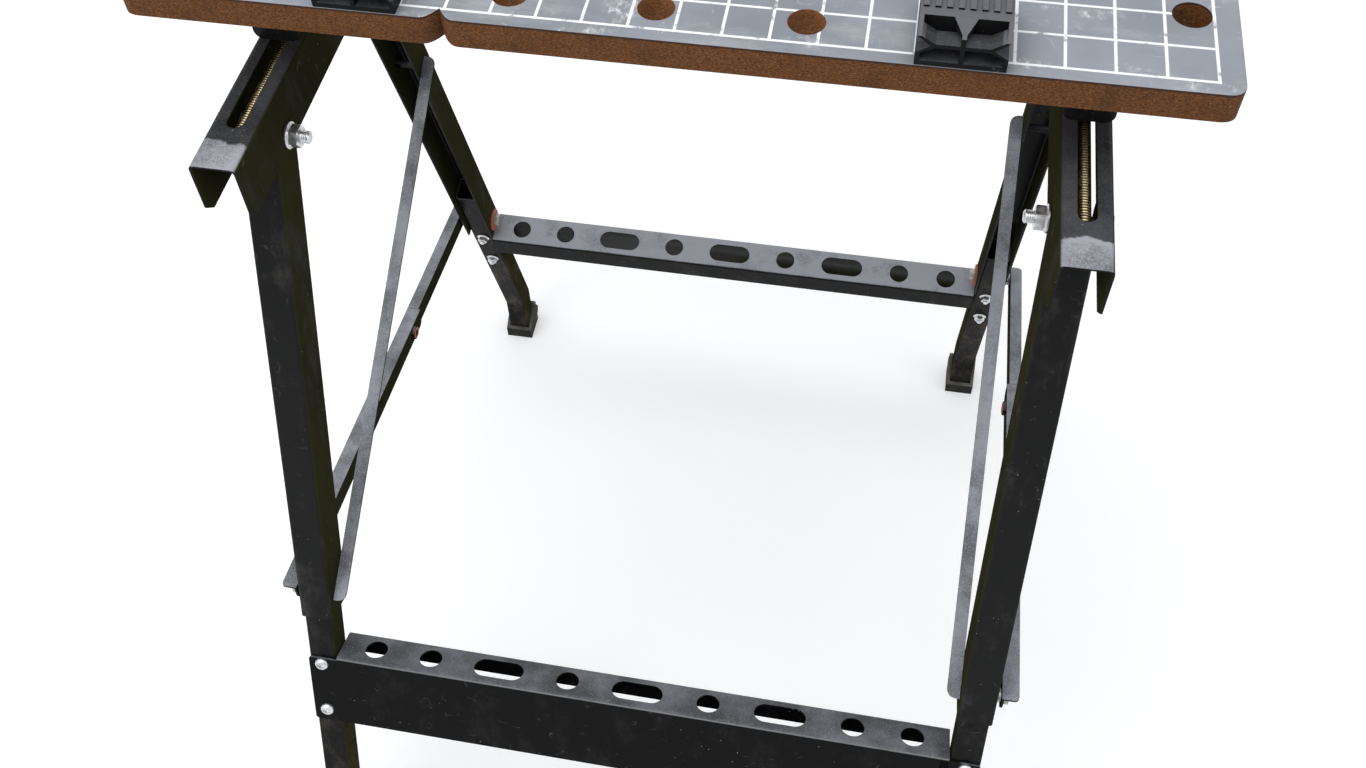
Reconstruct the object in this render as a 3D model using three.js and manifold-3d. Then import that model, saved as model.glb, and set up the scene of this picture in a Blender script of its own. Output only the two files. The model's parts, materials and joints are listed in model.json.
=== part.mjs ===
// Folding workbench: two board jaws on a pair of steel channels, a moving jaw driven by two
// spindles, and a front and a rear leg frame that swing under the channels to fold flat.
// Millimetres, +Z up. The moving jaw is on the -Y side and the spindle cranks on the +Y side.
// While the pieces are made, Y = 0 is the front leg pivot and Z = 0 is the floor. The finished
// bench is moved along Y so that its origin lies on the floor under the middle of its box.
import * as THREE from 'three';
import { mergeVertices } from 'three/addons/utils/BufferGeometryUtils.js';
import Module from 'manifold-3d';

const wasm = await Module();
wasm.setup();

// Fits between pieces
const TOUCH_GAP = 0.3;
const HOLE_CLEARANCE = 0.3;
const LEG_SIDE_CLEARANCE = 0.5;

// Jaws
const BENCH_HEIGHT = 745;
const JAW_LENGTH = 611;
const JAW_DEPTH = 120;
const JAW_THICKNESS = 19;
const JAW_CORNER_RADIUS = 10;
const JAW_REST_GAP = 3;
const JAW_SETBACK = 1.3;
const DOG_HOLE_DIAMETER = 20.5;
const DOG_HOLE_PITCH = 81.5;
const DOG_HOLE_EDGE = 26;
const END_HOLE_INSET = 24.5;
const END_HOLE_EDGE = 60;
const NOTCH_X = -117;
const NOTCH_DEPTH = 9;
const NOTCH_WIDTH = 20;

// Channels
const SHEET = 1.6;
const CHANNEL_SPACING = 481;
const CHANNEL_WIDTH = 28.8;
const CHANNEL_FLANGE = 42;
const CHANNEL_LENGTH = 322;
const CHANNEL_FRONT_OVERHANG = 64;
const CHANNEL_CORNER_CUT = 7;
const SLOT_WIDTH = 10.5;
const SLOT_FRONT_INSET = 33;
const SLOT_LENGTH = 134;

// Jaw risers
const RISER_HEIGHT = 49;
const RISER_LENGTH = 70;
const RISER_SETBACK = 44;
const RISER_FLANGE = 15;
const RISER_CORNER_RADIUS = 6;
const JAW_SCREW_INSET = 12;
const JAW_SCREW_DIAMETER = 4.5;
const JAW_SCREW_LENGTH = 14;

// Spindles and cranks
const SPINDLE_DIAMETER = 8;
const SPINDLE_DROP = 10;
const SPINDLE_TIP_INSET = 36;
const SPINDLE_NUT_LENGTH = 24;
const SPINDLE_NUT_WIDTH = 20;
const SPINDLE_NUT_DROP = 16.5;
const SPINDLE_NUT_SETBACK = 46;
const BUSH_LENGTH = 12;
const BUSH_HEIGHT = 20;
const COLLAR_DIAMETER = 15;
const COLLAR_LENGTH = 6;
const CRANK_HUB_DIAMETER = 22;
const CRANK_HUB_LENGTH = 18;
const CRANK_RADIUS = 58;
const CRANK_ARM_WIDTH = 15;
const CRANK_ARM_THICKNESS = 8;
const KNOB_DIAMETER = 23;
const KNOB_LENGTH = 40;
const KNOB_PIN_DIAMETER = 8;
const KNOB_PIN_HEAD = 12;
const KNOB_PIN_HEAD_LENGTH = 3;

// Leg frames
const PIVOT_DROP = 34;
const PIVOT_SPAN = 177;
const FRONT_LEAN = 20.8;
const REAR_LEAN = 16.5;
const LEG_DEPTH = 28;
const LEG_WEB_START = 3;
const FRONT_UPPER_LENGTH = 385;
const REAR_UPPER_LENGTH = 430;
const TUBE_DEPTH = 22;
const TUBE_WALL = 1.5;
const TUBE_INSERTION = 70;
const FOOT_BEND_HEIGHT = 55;
const BOOT_WALL = 3;
const BOOT_SOLE = 5;
const BOOT_HEIGHT = 30;
const BOOT_TOE_HEIGHT = 12;
const BOOT_HEEL_RADIUS = 8;
const BOOT_HEEL_REACH = 5;

// Stretchers
const FRONT_STRETCHER_DROP = 38;
const REAR_STRETCHER_DROP = 2;
const STRETCHER_WIDTH = 29.5;
const STRETCHER_DEEP_FLANGE = 68;
const FRONT_SHALLOW_FLANGE = 18.5;
const REAR_SHALLOW_FLANGE = 28;
const STRETCHER_END_GAP = 1.5;
const STRETCHER_HOLE_DIAMETER = 17;
const STRETCHER_SLOT_LENGTH = 38;
const STRETCHER_HOLE_INSET = 26.6;
const STRETCHER_END_PITCH = 43;
const SCREW_DIAMETER = 5;
const SCREW_EDGE = 8;
const SCREW_SPACING = 48;

// Braces and folding stays
const FRONT_STAY_INSET = 17;
const REAR_BRACE_DISTANCE = 144;
const REAR_STAY_INSET = 12;
const BRACE_WIDTH = 13;
const BRACE_FLANGE = 7.5;
const BRACE_CORNER_RADIUS = 7;
const BRACE_HEAD_DIAMETER = 8.5;
const STAY_WIDTH = 16;
const STAY_FLANGE = 10;
const STAY_CORNER_RADIUS = 4;
const STAY_REAR_LENGTH = 160;
const STAY_STANDOFF = 3.2;
const KNEE_LAP = 21;

// Pivot hardware
const PIVOT_BOLT_DIAMETER = 8;
const PIVOT_HEAD_CORNERS = 15;
const PIVOT_HEAD_THICKNESS = 5.3;
const FLANGE_NUT_DIAMETER = 17;
const FLANGE_NUT_RIM = 1.8;
const FLANGE_NUT_THICKNESS = 8;
const PIVOT_BOLT_TAIL = 6;
const STAY_BOLT_DIAMETER = 6;
const STAY_HEAD_DIAMETER = 12;
const STAY_HEAD_THICKNESS = 3.2;
const SLEEVE_DIAMETER = 10.5;
const STAY_HEX_CORNERS = 11.5;
const STAY_HEX_THICKNESS = 4.5;
const WASHER_DIAMETER = 21;
const WASHER_THICKNESS = 1.4;

// Bench dogs
const DOG_WIDTH = 47;
const DOG_DEPTH = 48;
const DOG_HEIGHT = 24;
const DOG_LOWER_LIP = 8;
const DOG_GROOVE_HEIGHT = 13;
const DOG_UPPER_LIP = 19;
const DOG_GROOVE_DEPTH = 7.5;
const DOG_WALL = 2.4;
const DOG_FLOOR = 3;
const DOG_CELL_DEPTH = 11;
const DOG_TONGUE_WIDTH = 12;
const DOG_TONGUE_THICKNESS = 6;
const DOG_POST_LENGTH = 16;
const DOG_RIB_COUNT = 8;
const DOG_RIB_HEIGHT = 1.2;
const DOG_RIB_SETBACK = 17;

// Places worked out from the driving sizes
const channelTop = BENCH_HEIGHT - JAW_THICKNESS - RISER_HEIGHT;
const channelX = CHANNEL_SPACING / 2;
const channelFront = -CHANNEL_FRONT_OVERHANG;
const channelRear = channelFront + CHANNEL_LENGTH;
const pivotZ = channelTop - PIVOT_DROP;
const spindleZ = channelTop - SPINDLE_DROP;
const jawBottom = BENCH_HEIGHT - JAW_THICKNESS;
const movingJawFront = JAW_SETBACK;
const fixedJawRear = JAW_SETBACK + 2 * JAW_DEPTH + JAW_REST_GAP;
const legWidth = CHANNEL_WIDTH - 2 * SHEET - 2 * LEG_SIDE_CLEARANCE;
const tubeWidth = legWidth - 2 * SHEET - 2 * TOUCH_GAP;
const tubeFace = LEG_DEPTH / 2 - SHEET - TOUCH_GAP;
const tubeCentre = tubeFace - TUBE_DEPTH / 2;
const legOuterX = channelX + legWidth / 2;
const legInnerX = channelX - legWidth / 2;
const braceWebX = legInnerX - TOUCH_GAP - SHEET;
const stayFrontX = legOuterX + STAY_STANDOFF;
const stayRearX = stayFrontX + SHEET + TOUCH_GAP;
const stayReach = stayFrontX + SHEET + STAY_FLANGE;
const spindleTipY = channelFront + SPINDLE_TIP_INSET;
const crankFace = channelRear + TOUCH_GAP;
const frontStayDistance = FRONT_UPPER_LENGTH - FRONT_STAY_INSET;
const rearStayDistance = REAR_UPPER_LENGTH - REAR_STAY_INSET;
const SIDES = [['left', -1], ['right', 1]];

// A leg frame hangs from its pivot: its own -Z runs down the leg, and its web faces the way it leans
const FRONT = {
  name: 'front', facing: -1, tilt: -THREE.MathUtils.degToRad(FRONT_LEAN), pivotY: 0,
  upperLength: FRONT_UPPER_LENGTH, stretcher: FRONT_UPPER_LENGTH + FRONT_STRETCHER_DROP,
  shallowFlange: FRONT_SHALLOW_FLANGE,
};
const REAR = {
  name: 'rear', facing: 1, tilt: THREE.MathUtils.degToRad(REAR_LEAN), pivotY: PIVOT_SPAN,
  upperLength: REAR_UPPER_LENGTH, stretcher: REAR_UPPER_LENGTH + REAR_STRETCHER_DROP,
  shallowFlange: REAR_SHALLOW_FLANGE,
};

// Materials
const paint = (color, roughness, metalness) => new THREE.MeshStandardMaterial(
  { color, roughness, metalness });
const blackEnamel = paint(0x26272a, 0.42, 0.0);
const zincPlate = paint(0xc9cbcc, 0.3, 1.0);
const yellowZinc = paint(0xb59a4e, 0.35, 1.0);
const fibreboard = paint(0x7d8590, 0.6, 0.0);
const blackPlastic = paint(0x18181a, 0.5, 0.0);
const blackRubber = paint(0x141414, 0.8, 0.0);
const redFibre = paint(0xb4554f, 0.6, 0.0);

// Closed solid of a geometry, with coincident vertices welded and slivers of no area dropped
function solid(geometry) {
  const bare = geometry.clone();
  bare.deleteAttribute('normal');
  bare.deleteAttribute('uv');
  const welded = mergeVertices(bare, 1e-4);
  const index = welded.index.array;
  const corners = [];
  for (let i = 0; i < index.length; i += 3) {
    const [a, b, c] = index.slice(i, i + 3);
    if (a !== b && b !== c && c !== a) corners.push(a, b, c);
  }
  const vertProperties = new Float32Array(welded.attributes.position.array);
  const triVerts = new Uint32Array(corners);
  return new wasm.Manifold(new wasm.Mesh({ numProp: 3, vertProperties, triVerts }));
}

const join = (first, ...others) => others.reduce((whole, next) => whole.add(next), first);
const cut = (body, ...tools) => tools.reduce((whole, tool) => whole.subtract(tool), body);

// Named mesh of a finished solid
function mesh(name, body, material) {
  const { vertProperties, triVerts } = body.getMesh();
  const geometry = new THREE.BufferGeometry();
  geometry.setAttribute('position', new THREE.BufferAttribute(vertProperties, 3));
  geometry.setIndex(new THREE.BufferAttribute(triVerts, 1));
  geometry.computeVertexNormals();
  const piece = new THREE.Mesh(geometry, material);
  piece.name = name;
  return piece;
}

// Box between two corners
function block(x0, x1, y0, y1, z0, z1) {
  const geometry = new THREE.BoxGeometry(Math.abs(x1 - x0), Math.abs(y1 - y0), Math.abs(z1 - z0));
  geometry.translate((x0 + x1) / 2, (y0 + y1) / 2, (z0 + z1) / 2);
  return solid(geometry);
}

// Turns a geometry made along its own axis so that the axis lies along X, Y or Z
const TURN = {
  x: new THREE.Matrix4().makeBasis(
    new THREE.Vector3(0, 1, 0), new THREE.Vector3(0, 0, 1), new THREE.Vector3(1, 0, 0)),
  y: new THREE.Matrix4().makeBasis(
    new THREE.Vector3(0, 0, 1), new THREE.Vector3(1, 0, 0), new THREE.Vector3(0, 1, 0)),
  z: new THREE.Matrix4(),
};

// Flat outline pushed along an axis. The outline's own plane is (y, z), (z, x) or (x, y) in turn.
function slab(shape, axis, from, to, curveSegments = 6) {
  const depth = to - from;
  const geometry = new THREE.ExtrudeGeometry(shape, { depth, bevelEnabled: false, curveSegments });
  geometry.translate(0, 0, from);
  return solid(geometry.applyMatrix4(TURN[axis]));
}

// Round or many-sided bar along an axis, centred on the point (u, v) of the plane across it
function bar(axis, diameter, from, to, u = 0, v = 0, sides = 12) {
  const geometry = new THREE.CylinderGeometry(diameter / 2, diameter / 2, Math.abs(to - from), sides);
  geometry.rotateX(Math.PI / 2);
  geometry.translate(u, v, (from + to) / 2);
  return solid(geometry.applyMatrix4(TURN[axis]));
}

// Outline through corner points
const outline = (...points) => new THREE.Shape(points.map(([u, v]) => new THREE.Vector2(u, v)));

// Point of a leg frame, at a distance down the leg, in the bench's (Y, Z)
function legPoint(frame, distance) {
  return new THREE.Vector2(
    frame.pivotY + distance * Math.sin(frame.tilt),
    pivotZ - distance * Math.cos(frame.tilt));
}

// Group that hangs at a point with its -Z running towards another point
function hanging(from, to) {
  const group = new THREE.Group();
  group.position.set(0, from.x, from.y);
  group.rotation.x = Math.atan2(to.x - from.x, from.y - to.y);
  return group;
}

// Jaw board with its dog holes and pilot holes. outward is the side, -1 or +1, of its outer edge.
function jawBoard(name, outward, outerEdge, riserFront) {
  const half = JAW_LENGTH / 2;
  const r = JAW_CORNER_RADIUS;
  const shape = new THREE.Shape();
  shape.moveTo(-half + r, 0);
  if (outward < 0) {
    shape.lineTo(NOTCH_X - NOTCH_WIDTH / 2, 0);
    shape.quadraticCurveTo(NOTCH_X - NOTCH_WIDTH / 4, 0, NOTCH_X, NOTCH_DEPTH);
    shape.quadraticCurveTo(NOTCH_X + NOTCH_WIDTH / 4, 0, NOTCH_X + NOTCH_WIDTH / 2, 0);
  }
  shape.lineTo(half - r, 0);
  shape.quadraticCurveTo(half, 0, half, r);
  shape.lineTo(half, JAW_DEPTH);
  shape.lineTo(-half, JAW_DEPTH);
  shape.lineTo(-half, r);
  shape.quadraticCurveTo(-half, 0, -half + r, 0);
  for (const [x, edge] of jawHoles()) {
    shape.holes.push(new THREE.Path().absarc(x, edge, DOG_HOLE_DIAMETER / 2, 0, Math.PI * 2, true));
  }
  const pilots = SIDES.flatMap(([, side]) => jawScrewPlaces(riserFront).map(([x, y]) => bar(
    'z', JAW_SCREW_DIAMETER + 2 * HOLE_CLEARANCE, jawBottom - 1, jawBottom + JAW_SCREW_LENGTH + 1,
    side * channelX + x, Math.abs(y - outerEdge), 8)));
  const board = mesh(name, cut(slab(shape, 'z', jawBottom, BENCH_HEIGHT, 12), ...pilots), fibreboard);
  board.position.y = outerEdge;
  if (outward > 0) board.rotation.z = Math.PI;
  return board;
}

// Dog hole places on a jaw, as (x, distance from the outer edge)
function jawHoles() {
  const row = [-2, -1, 0, 1, 2].map((step) => [step * DOG_HOLE_PITCH, DOG_HOLE_EDGE]);
  const endX = JAW_LENGTH / 2 - END_HOLE_INSET;
  return [...row, [-endX, END_HOLE_EDGE], [endX, END_HOLE_EDGE]];
}

// Inverted channel with a spindle slot in its top and pivot holes through its flanges
function channel(name, side) {
  const half = CHANNEL_WIDTH / 2;
  const bottom = channelTop - CHANNEL_FLANGE;
  const c = CHANNEL_CORNER_CUT;
  const profile = outline(
    [channelFront, channelTop], [channelFront, bottom + c], [channelFront + c, bottom],
    [channelRear - c, bottom], [channelRear, bottom + c], [channelRear, channelTop]);
  const inside = block(
    SHEET - half, half - SHEET, channelFront - 1, channelRear + 1, bottom - 1, channelTop - SHEET);
  const slotFront = channelFront + SLOT_FRONT_INSET;
  const slot = new THREE.Shape();
  const r = SLOT_WIDTH / 2;
  slot.absarc(0, slotFront + r, r, Math.PI, Math.PI * 2, false);
  slot.absarc(0, slotFront + SLOT_LENGTH - r, r, 0, Math.PI, false);
  const boltHole = PIVOT_BOLT_DIAMETER + 2 * HOLE_CLEARANCE;
  const pivotHoles = [FRONT, REAR].map((frame) => bar(
    'x', boltHole, -half - 1, half + 1, frame.pivotY, pivotZ));
  const body = cut(
    slab(profile, 'x', -half, half), inside,
    slab(slot, 'z', channelTop - 2 * SHEET, channelTop + 1), ...pivotHoles);
  const piece = mesh(name, body, blackEnamel);
  piece.position.x = side * channelX;
  return piece;
}

// Front faces of the two risers of a channel
const movingRiserFront = movingJawFront + RISER_SETBACK;
const fixedRiserFront = fixedJawRear - RISER_SETBACK - RISER_LENGTH;

// Screws of a riser into its jaw, as (x from the channel's middle, y)
function jawScrewPlaces(riserFront) {
  const x = CHANNEL_WIDTH / 2 + RISER_FLANGE / 2;
  const rows = [riserFront + JAW_SCREW_INSET, riserFront + RISER_LENGTH - JAW_SCREW_INSET];
  return rows.flatMap((y) => [[-x, y], [x, y]]);
}

// Pressed riser: a trough with a closed front, standing on the channel, with side flanges under the jaw
function riser(name, side, front, facing, holes) {
  const half = CHANNEL_WIDTH / 2;
  const bottom = channelTop + TOUCH_GAP;
  const top = jawBottom - TOUCH_GAP;
  const wing = half + RISER_FLANGE;
  const r = RISER_CORNER_RADIUS;
  const section = new THREE.Shape();
  section.moveTo(top, -wing);
  section.lineTo(top - SHEET, -wing);
  section.lineTo(top - SHEET, -half);
  section.lineTo(bottom + r, -half);
  section.absarc(bottom + r, -half + r, r, Math.PI * 1.5, Math.PI, true);
  section.lineTo(bottom, half - r);
  section.absarc(bottom + r, half - r, r, Math.PI, Math.PI / 2, true);
  section.lineTo(top - SHEET, half);
  section.lineTo(top - SHEET, wing);
  section.lineTo(top, wing);
  const wall = 2 * SHEET;
  const back = front + RISER_LENGTH;
  const hollowFrom = facing < 0 ? front + wall : front - 1;
  const hollowTo = facing < 0 ? back + 1 : back - wall;
  const hollow = block(wall - half, half - wall, hollowFrom, hollowTo, bottom + wall, top + 1);
  const screwHoles = jawScrewPlaces(front).map(([x, y]) => bar(
    'z', JAW_SCREW_DIAMETER + 2 * HOLE_CLEARANCE, top - 2 * SHEET, top + 1, x, y, 8));
  const body = cut(slab(section, 'y', front, back), hollow, ...screwHoles, ...holes);
  const piece = mesh(name, body, blackEnamel);
  piece.position.x = side * channelX;
  return piece;
}

// Place of a spindle nut's middle along Y
const spindleNutY = movingRiserFront + SPINDLE_NUT_SETBACK;
const stemWidth = SLOT_WIDTH - 2 * LEG_SIDE_CLEARANCE;

// Stem hole in a moving riser's floor
function stemHole() {
  const half = stemWidth / 2 + HOLE_CLEARANCE;
  return block(-half, half, spindleNutY - half, spindleNutY + half, channelTop - 1, channelTop + 4 * SHEET);
}

// Spindle nut: a threaded block inside the channel with a stem up through the slot into the riser
function spindleNut(name, side) {
  const half = SPINDLE_NUT_WIDTH / 2;
  const stem = stemWidth / 2;
  const top = channelTop - SHEET - TOUCH_GAP;
  const front = spindleNutY - SPINDLE_NUT_LENGTH / 2;
  const rear = spindleNutY + SPINDLE_NUT_LENGTH / 2;
  const bore = SPINDLE_DIAMETER + 2 * HOLE_CLEARANCE;
  const body = join(
    block(-half, half, front, rear, top - SPINDLE_NUT_DROP, top),
    block(-stem, stem, spindleNutY - stem, spindleNutY + stem, top - 1, channelTop + 3 * SHEET));
  const piece = mesh(name, cut(body, bar('y', bore, front - 1, rear + 1, spindleZ, 0)), zincPlate);
  piece.position.x = side * channelX;
  return piece;
}

// Spindle: a long screw from its free tip, through nut and bush, into the crank hub. A collar turned
// on it in front of the bush takes the thrust.
function spindle(name, side) {
  const end = crankFace + CRANK_HUB_LENGTH - 4;
  const shank = bar('y', SPINDLE_DIAMETER, spindleTipY + 1, end, spindleZ, 0);
  const tip = bar('y', SPINDLE_DIAMETER - 2, spindleTipY, spindleTipY + 2, spindleZ, 0);
  const collarRear = channelRear - BUSH_LENGTH - TOUCH_GAP;
  const collar = bar('y', COLLAR_DIAMETER, collarRear - COLLAR_LENGTH, collarRear, spindleZ, 0, 16);
  const piece = mesh(name, join(shank, tip, collar), yellowZinc);
  piece.position.x = side * channelX;
  return piece;
}

// Bush block in the rear end of a channel, which carries the spindle
function spindleBush(name, side) {
  const half = CHANNEL_WIDTH / 2 - SHEET - TOUCH_GAP;
  const top = channelTop - SHEET - TOUCH_GAP;
  const bore = SPINDLE_DIAMETER + 2 * HOLE_CLEARANCE;
  const front = channelRear - BUSH_LENGTH;
  const body = block(-half, half, front, channelRear, top - BUSH_HEIGHT, top);
  const hole = bar('y', bore, front - 1, channelRear + 1, spindleZ, 0);
  const piece = mesh(name, cut(body, hole), blackPlastic);
  piece.position.x = side * channelX;
  return piece;
}

const knobZ = spindleZ - CRANK_RADIUS;
const knobFrom = crankFace + CRANK_HUB_LENGTH + TOUCH_GAP;
const knobTo = knobFrom + KNOB_LENGTH;

// Crank: hub on the spindle, arm hanging down, and the pin that carries its knob
function crank(name, side) {
  const armFrom = crankFace + CRANK_HUB_LENGTH - CRANK_ARM_THICKNESS;
  const armTo = crankFace + CRANK_HUB_LENGTH;
  const half = CRANK_ARM_WIDTH / 2;
  const arm = new THREE.Shape();
  arm.absarc(spindleZ, 0, half, -Math.PI / 2, Math.PI / 2, false);
  arm.absarc(knobZ, 0, half, Math.PI / 2, Math.PI * 1.5, false);
  const body = join(
    bar('y', CRANK_HUB_DIAMETER, crankFace, armTo, spindleZ, 0, 18),
    slab(arm, 'y', armFrom, armTo, 6),
    bar('y', KNOB_PIN_DIAMETER, armTo - 1, knobTo + TOUCH_GAP + 1, knobZ, 0),
    bar('y', KNOB_PIN_HEAD, knobTo + TOUCH_GAP, knobTo + TOUCH_GAP + KNOB_PIN_HEAD_LENGTH, knobZ, 0));
  const socket = SPINDLE_DIAMETER + 2 * TOUCH_GAP;
  const hole = bar('y', socket, crankFace - 1, crankFace + CRANK_HUB_LENGTH - 4 + TOUCH_GAP, spindleZ, 0);
  const piece = mesh(name, cut(body, hole), blackPlastic);
  piece.position.x = side * channelX;
  return piece;
}

// Crank knob: a waisted grip that turns on the crank's pin
function crankKnob(name, side) {
  const r = KNOB_DIAMETER / 2;
  const bore = KNOB_PIN_DIAMETER / 2 + HOLE_CLEARANCE;
  const rim = 1.5;
  const profile = [
    [bore, 0], [r - rim - 1, 0], [r - 1, rim], [r - 2, KNOB_LENGTH * 0.35], [r, KNOB_LENGTH * 0.75],
    [r, KNOB_LENGTH - rim], [r - rim, KNOB_LENGTH], [bore, KNOB_LENGTH], [bore, 0],
  ].map(([radius, along]) => new THREE.Vector2(radius, along));
  const geometry = new THREE.LatheGeometry(profile, 16);
  geometry.translate(0, knobFrom, 0);
  const piece = mesh(name, solid(geometry), blackPlastic);
  piece.position.set(side * channelX, 0, knobZ);
  return piece;
}

// Upper leg: a U of sheet steel whose web faces the way the leg leans, with round tops on its flanges
function upperLeg(name, side, frame, holes) {
  const half = legWidth / 2;
  const depth = LEG_DEPTH / 2;
  const profile = new THREE.Shape();
  profile.moveTo(-depth, -frame.upperLength);
  profile.lineTo(depth, -frame.upperLength);
  profile.lineTo(depth, 0);
  profile.absarc(0, 0, depth, 0, Math.PI, false);
  const webInside = frame.facing * (depth - SHEET);
  const openSide = -frame.facing * (depth + 1);
  const inside = block(SHEET - half, half - SHEET, webInside, openSide, -frame.upperLength - 1, depth + 1);
  const aboveWeb = block(SHEET - half, half - SHEET, -depth - 1, depth + 1, -LEG_WEB_START, depth + 1);
  const bores = holes.map(([distance, diameter]) => bar(
    'x', diameter + 2 * HOLE_CLEARANCE, -half - 1, half + 1, 0, -distance));
  const body = cut(slab(profile, 'x', -half, half, 6), inside, aboveWeb, ...bores);
  const piece = mesh(name, body, blackEnamel);
  piece.position.x = side * channelX;
  return piece;
}

// Distance down a leg at which its tube bends upright, and the length of the upright foot
function footBend(frame) {
  const drop = pivotZ - FOOT_BEND_HEIGHT + frame.facing * tubeCentre * Math.sin(frame.tilt);
  return drop / Math.cos(frame.tilt);
}
const footLength = FOOT_BEND_HEIGHT - BOOT_SOLE - TOUCH_GAP;

// Side outline of a bent tube of the given depth, lengthened at both ends by extra
function tubeOutline(frame, depth, extra) {
  const half = depth / 2;
  const y = frame.facing * tubeCentre;
  const top = -(frame.upperLength - TUBE_INSERTION) + extra;
  const bend = -footBend(frame);
  const down = [-Math.sin(frame.tilt), -Math.cos(frame.tilt)];
  const across = [Math.cos(frame.tilt), -Math.sin(frame.tilt)];
  const mitre = half * Math.tan(frame.tilt / 2);
  const end = [y + down[0] * (footLength + extra), bend + down[1] * (footLength + extra)];
  return outline(
    [y - half, top], [y - half, bend + mitre],
    [end[0] - across[0] * half, end[1] - across[1] * half],
    [end[0] + across[0] * half, end[1] + across[1] * half],
    [y + half, bend - mitre], [y + half, top]);
}

// Lower leg: a rectangular tube pushed up inside the upper leg and bent upright at its foot
function lowerLeg(name, side, frame, holes) {
  const half = tubeWidth / 2;
  const skin = slab(tubeOutline(frame, TUBE_DEPTH, 0), 'x', -half, half);
  const boreHalf = half - TUBE_WALL;
  const bore = slab(tubeOutline(frame, TUBE_DEPTH - 2 * TUBE_WALL, 2), 'x', -boreHalf, boreHalf);
  const bolts = holes.map(([distance, diameter]) => bar(
    'x', diameter + 2 * HOLE_CLEARANCE, -half - 1, half + 1, 0, -distance));
  const screws = screwDistances(frame).map((distance) => bar(
    'y', SCREW_DIAMETER + 2 * HOLE_CLEARANCE, -LEG_DEPTH, LEG_DEPTH, -distance, 0, 10));
  const piece = mesh(name, cut(skin, bore, ...bolts, ...screws), blackEnamel);
  piece.position.x = side * channelX;
  return piece;
}

// Rubber boot on an upright foot, with a heel on the side that the leg leans to. Its mouth slants
// down from the heel to the toe.
function boot(name, side, frame) {
  const halfX = tubeWidth / 2 + TOUCH_GAP + BOOT_WALL;
  const halfY = TUBE_DEPTH / 2 + TOUCH_GAP + BOOT_WALL;
  const under = -BOOT_SOLE - TOUCH_GAP;
  const top = under + BOOT_HEIGHT;
  const body = join(
    block(-halfX, halfX, -halfY, halfY, under, top),
    bar('x', 2 * BOOT_HEEL_RADIUS, -halfX, halfX,
      frame.facing * (halfY + BOOT_HEEL_REACH - BOOT_HEEL_RADIUS), under + BOOT_HEIGHT / 2, 20));
  const pocketX = tubeWidth / 2 + TOUCH_GAP;
  const pocketY = TUBE_DEPTH / 2 + TOUCH_GAP;
  const pocket = block(-pocketX, pocketX, -pocketY, pocketY, -TOUCH_GAP, top + 1);
  const toe = -frame.facing * (halfY + 1);
  const mouth = outline(
    [toe, under + BOOT_TOE_HEIGHT], [frame.facing * pocketY, top], [frame.facing * pocketY, top + 1],
    [toe, top + 1]);
  const piece = mesh(name, cut(body, pocket, slab(mouth, 'x', -halfX - 1, halfX + 1)), blackRubber);
  const bend = footBend(frame);
  piece.position.set(
    side * channelX,
    frame.facing * tubeCentre - Math.sin(frame.tilt) * footLength,
    -bend - Math.cos(frame.tilt) * footLength);
  piece.rotation.x = -frame.tilt;
  return piece;
}

// Distances down the leg of the screws that hold a stretcher
function screwDistances(frame) {
  const first = frame.stretcher + SCREW_EDGE;
  return [first, first + SCREW_SPACING];
}

// Stretcher: a U of sheet steel between the legs, with a deep flange that runs over the leg faces
function stretcher(frame) {
  const half = channelX - tubeWidth / 2 - STRETCHER_END_GAP;
  const reach = channelX + tubeWidth / 2;
  const face = frame.facing * (tubeFace + TOUCH_GAP + SHEET);
  const inner = face - frame.facing * STRETCHER_WIDTH;
  const top = -frame.stretcher;
  const plate = new THREE.Shape();
  plate.moveTo(-half, Math.min(face, inner));
  plate.lineTo(half, Math.min(face, inner));
  plate.lineTo(half, Math.max(face, inner));
  plate.lineTo(-half, Math.max(face, inner));
  const middle = (face + inner) / 2;
  const r = STRETCHER_HOLE_DIAMETER / 2;
  const slotHalf = STRETCHER_SLOT_LENGTH / 2 - r;
  const pitch = (half - STRETCHER_HOLE_INSET - STRETCHER_END_PITCH) / 3;
  for (const x of [-2 * pitch, 0, 2 * pitch]) {
    const slot = new THREE.Path();
    slot.absarc(x + slotHalf, middle, r, Math.PI / 2, -Math.PI / 2, true);
    slot.absarc(x - slotHalf, middle, r, -Math.PI / 2, -Math.PI * 1.5, true);
    plate.holes.push(slot);
  }
  for (const x of [pitch, 3 * pitch, 3 * pitch + STRETCHER_END_PITCH]) {
    plate.holes.push(new THREE.Path().absarc(x, middle, r, 0, Math.PI * 2, true));
    plate.holes.push(new THREE.Path().absarc(-x, middle, r, 0, Math.PI * 2, true));
  }
  const deepInside = face - frame.facing * SHEET;
  const shallowInside = inner + frame.facing * SHEET;
  const body = join(
    slab(plate, 'z', top - SHEET, top, 6),
    block(-reach, reach, face, deepInside, top - STRETCHER_DEEP_FLANGE, top),
    block(-half, half, inner, shallowInside, top - frame.shallowFlange, top));
  const holes = SIDES.flatMap(([, side]) => screwDistances(frame).map((distance) => bar(
    'y', SCREW_DIAMETER + 2 * HOLE_CLEARANCE, -LEG_DEPTH, LEG_DEPTH, -distance, side * channelX, 10)));
  return mesh(`${frame.name}_stretcher`, cut(body, ...holes), blackEnamel);
}

// Turned piece along X from a profile of (distance from the bench's middle, radius) on one side
function turnedAcross(side, steps, y, z, sides = 12) {
  const profile = steps.map(([x, radius]) => new THREE.Vector2(radius, x));
  const geometry = new THREE.LatheGeometry(profile, sides);
  geometry.rotateZ(-Math.PI / 2);
  if (side < 0) geometry.rotateZ(Math.PI);
  geometry.translate(0, y, z);
  return solid(geometry);
}

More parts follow.
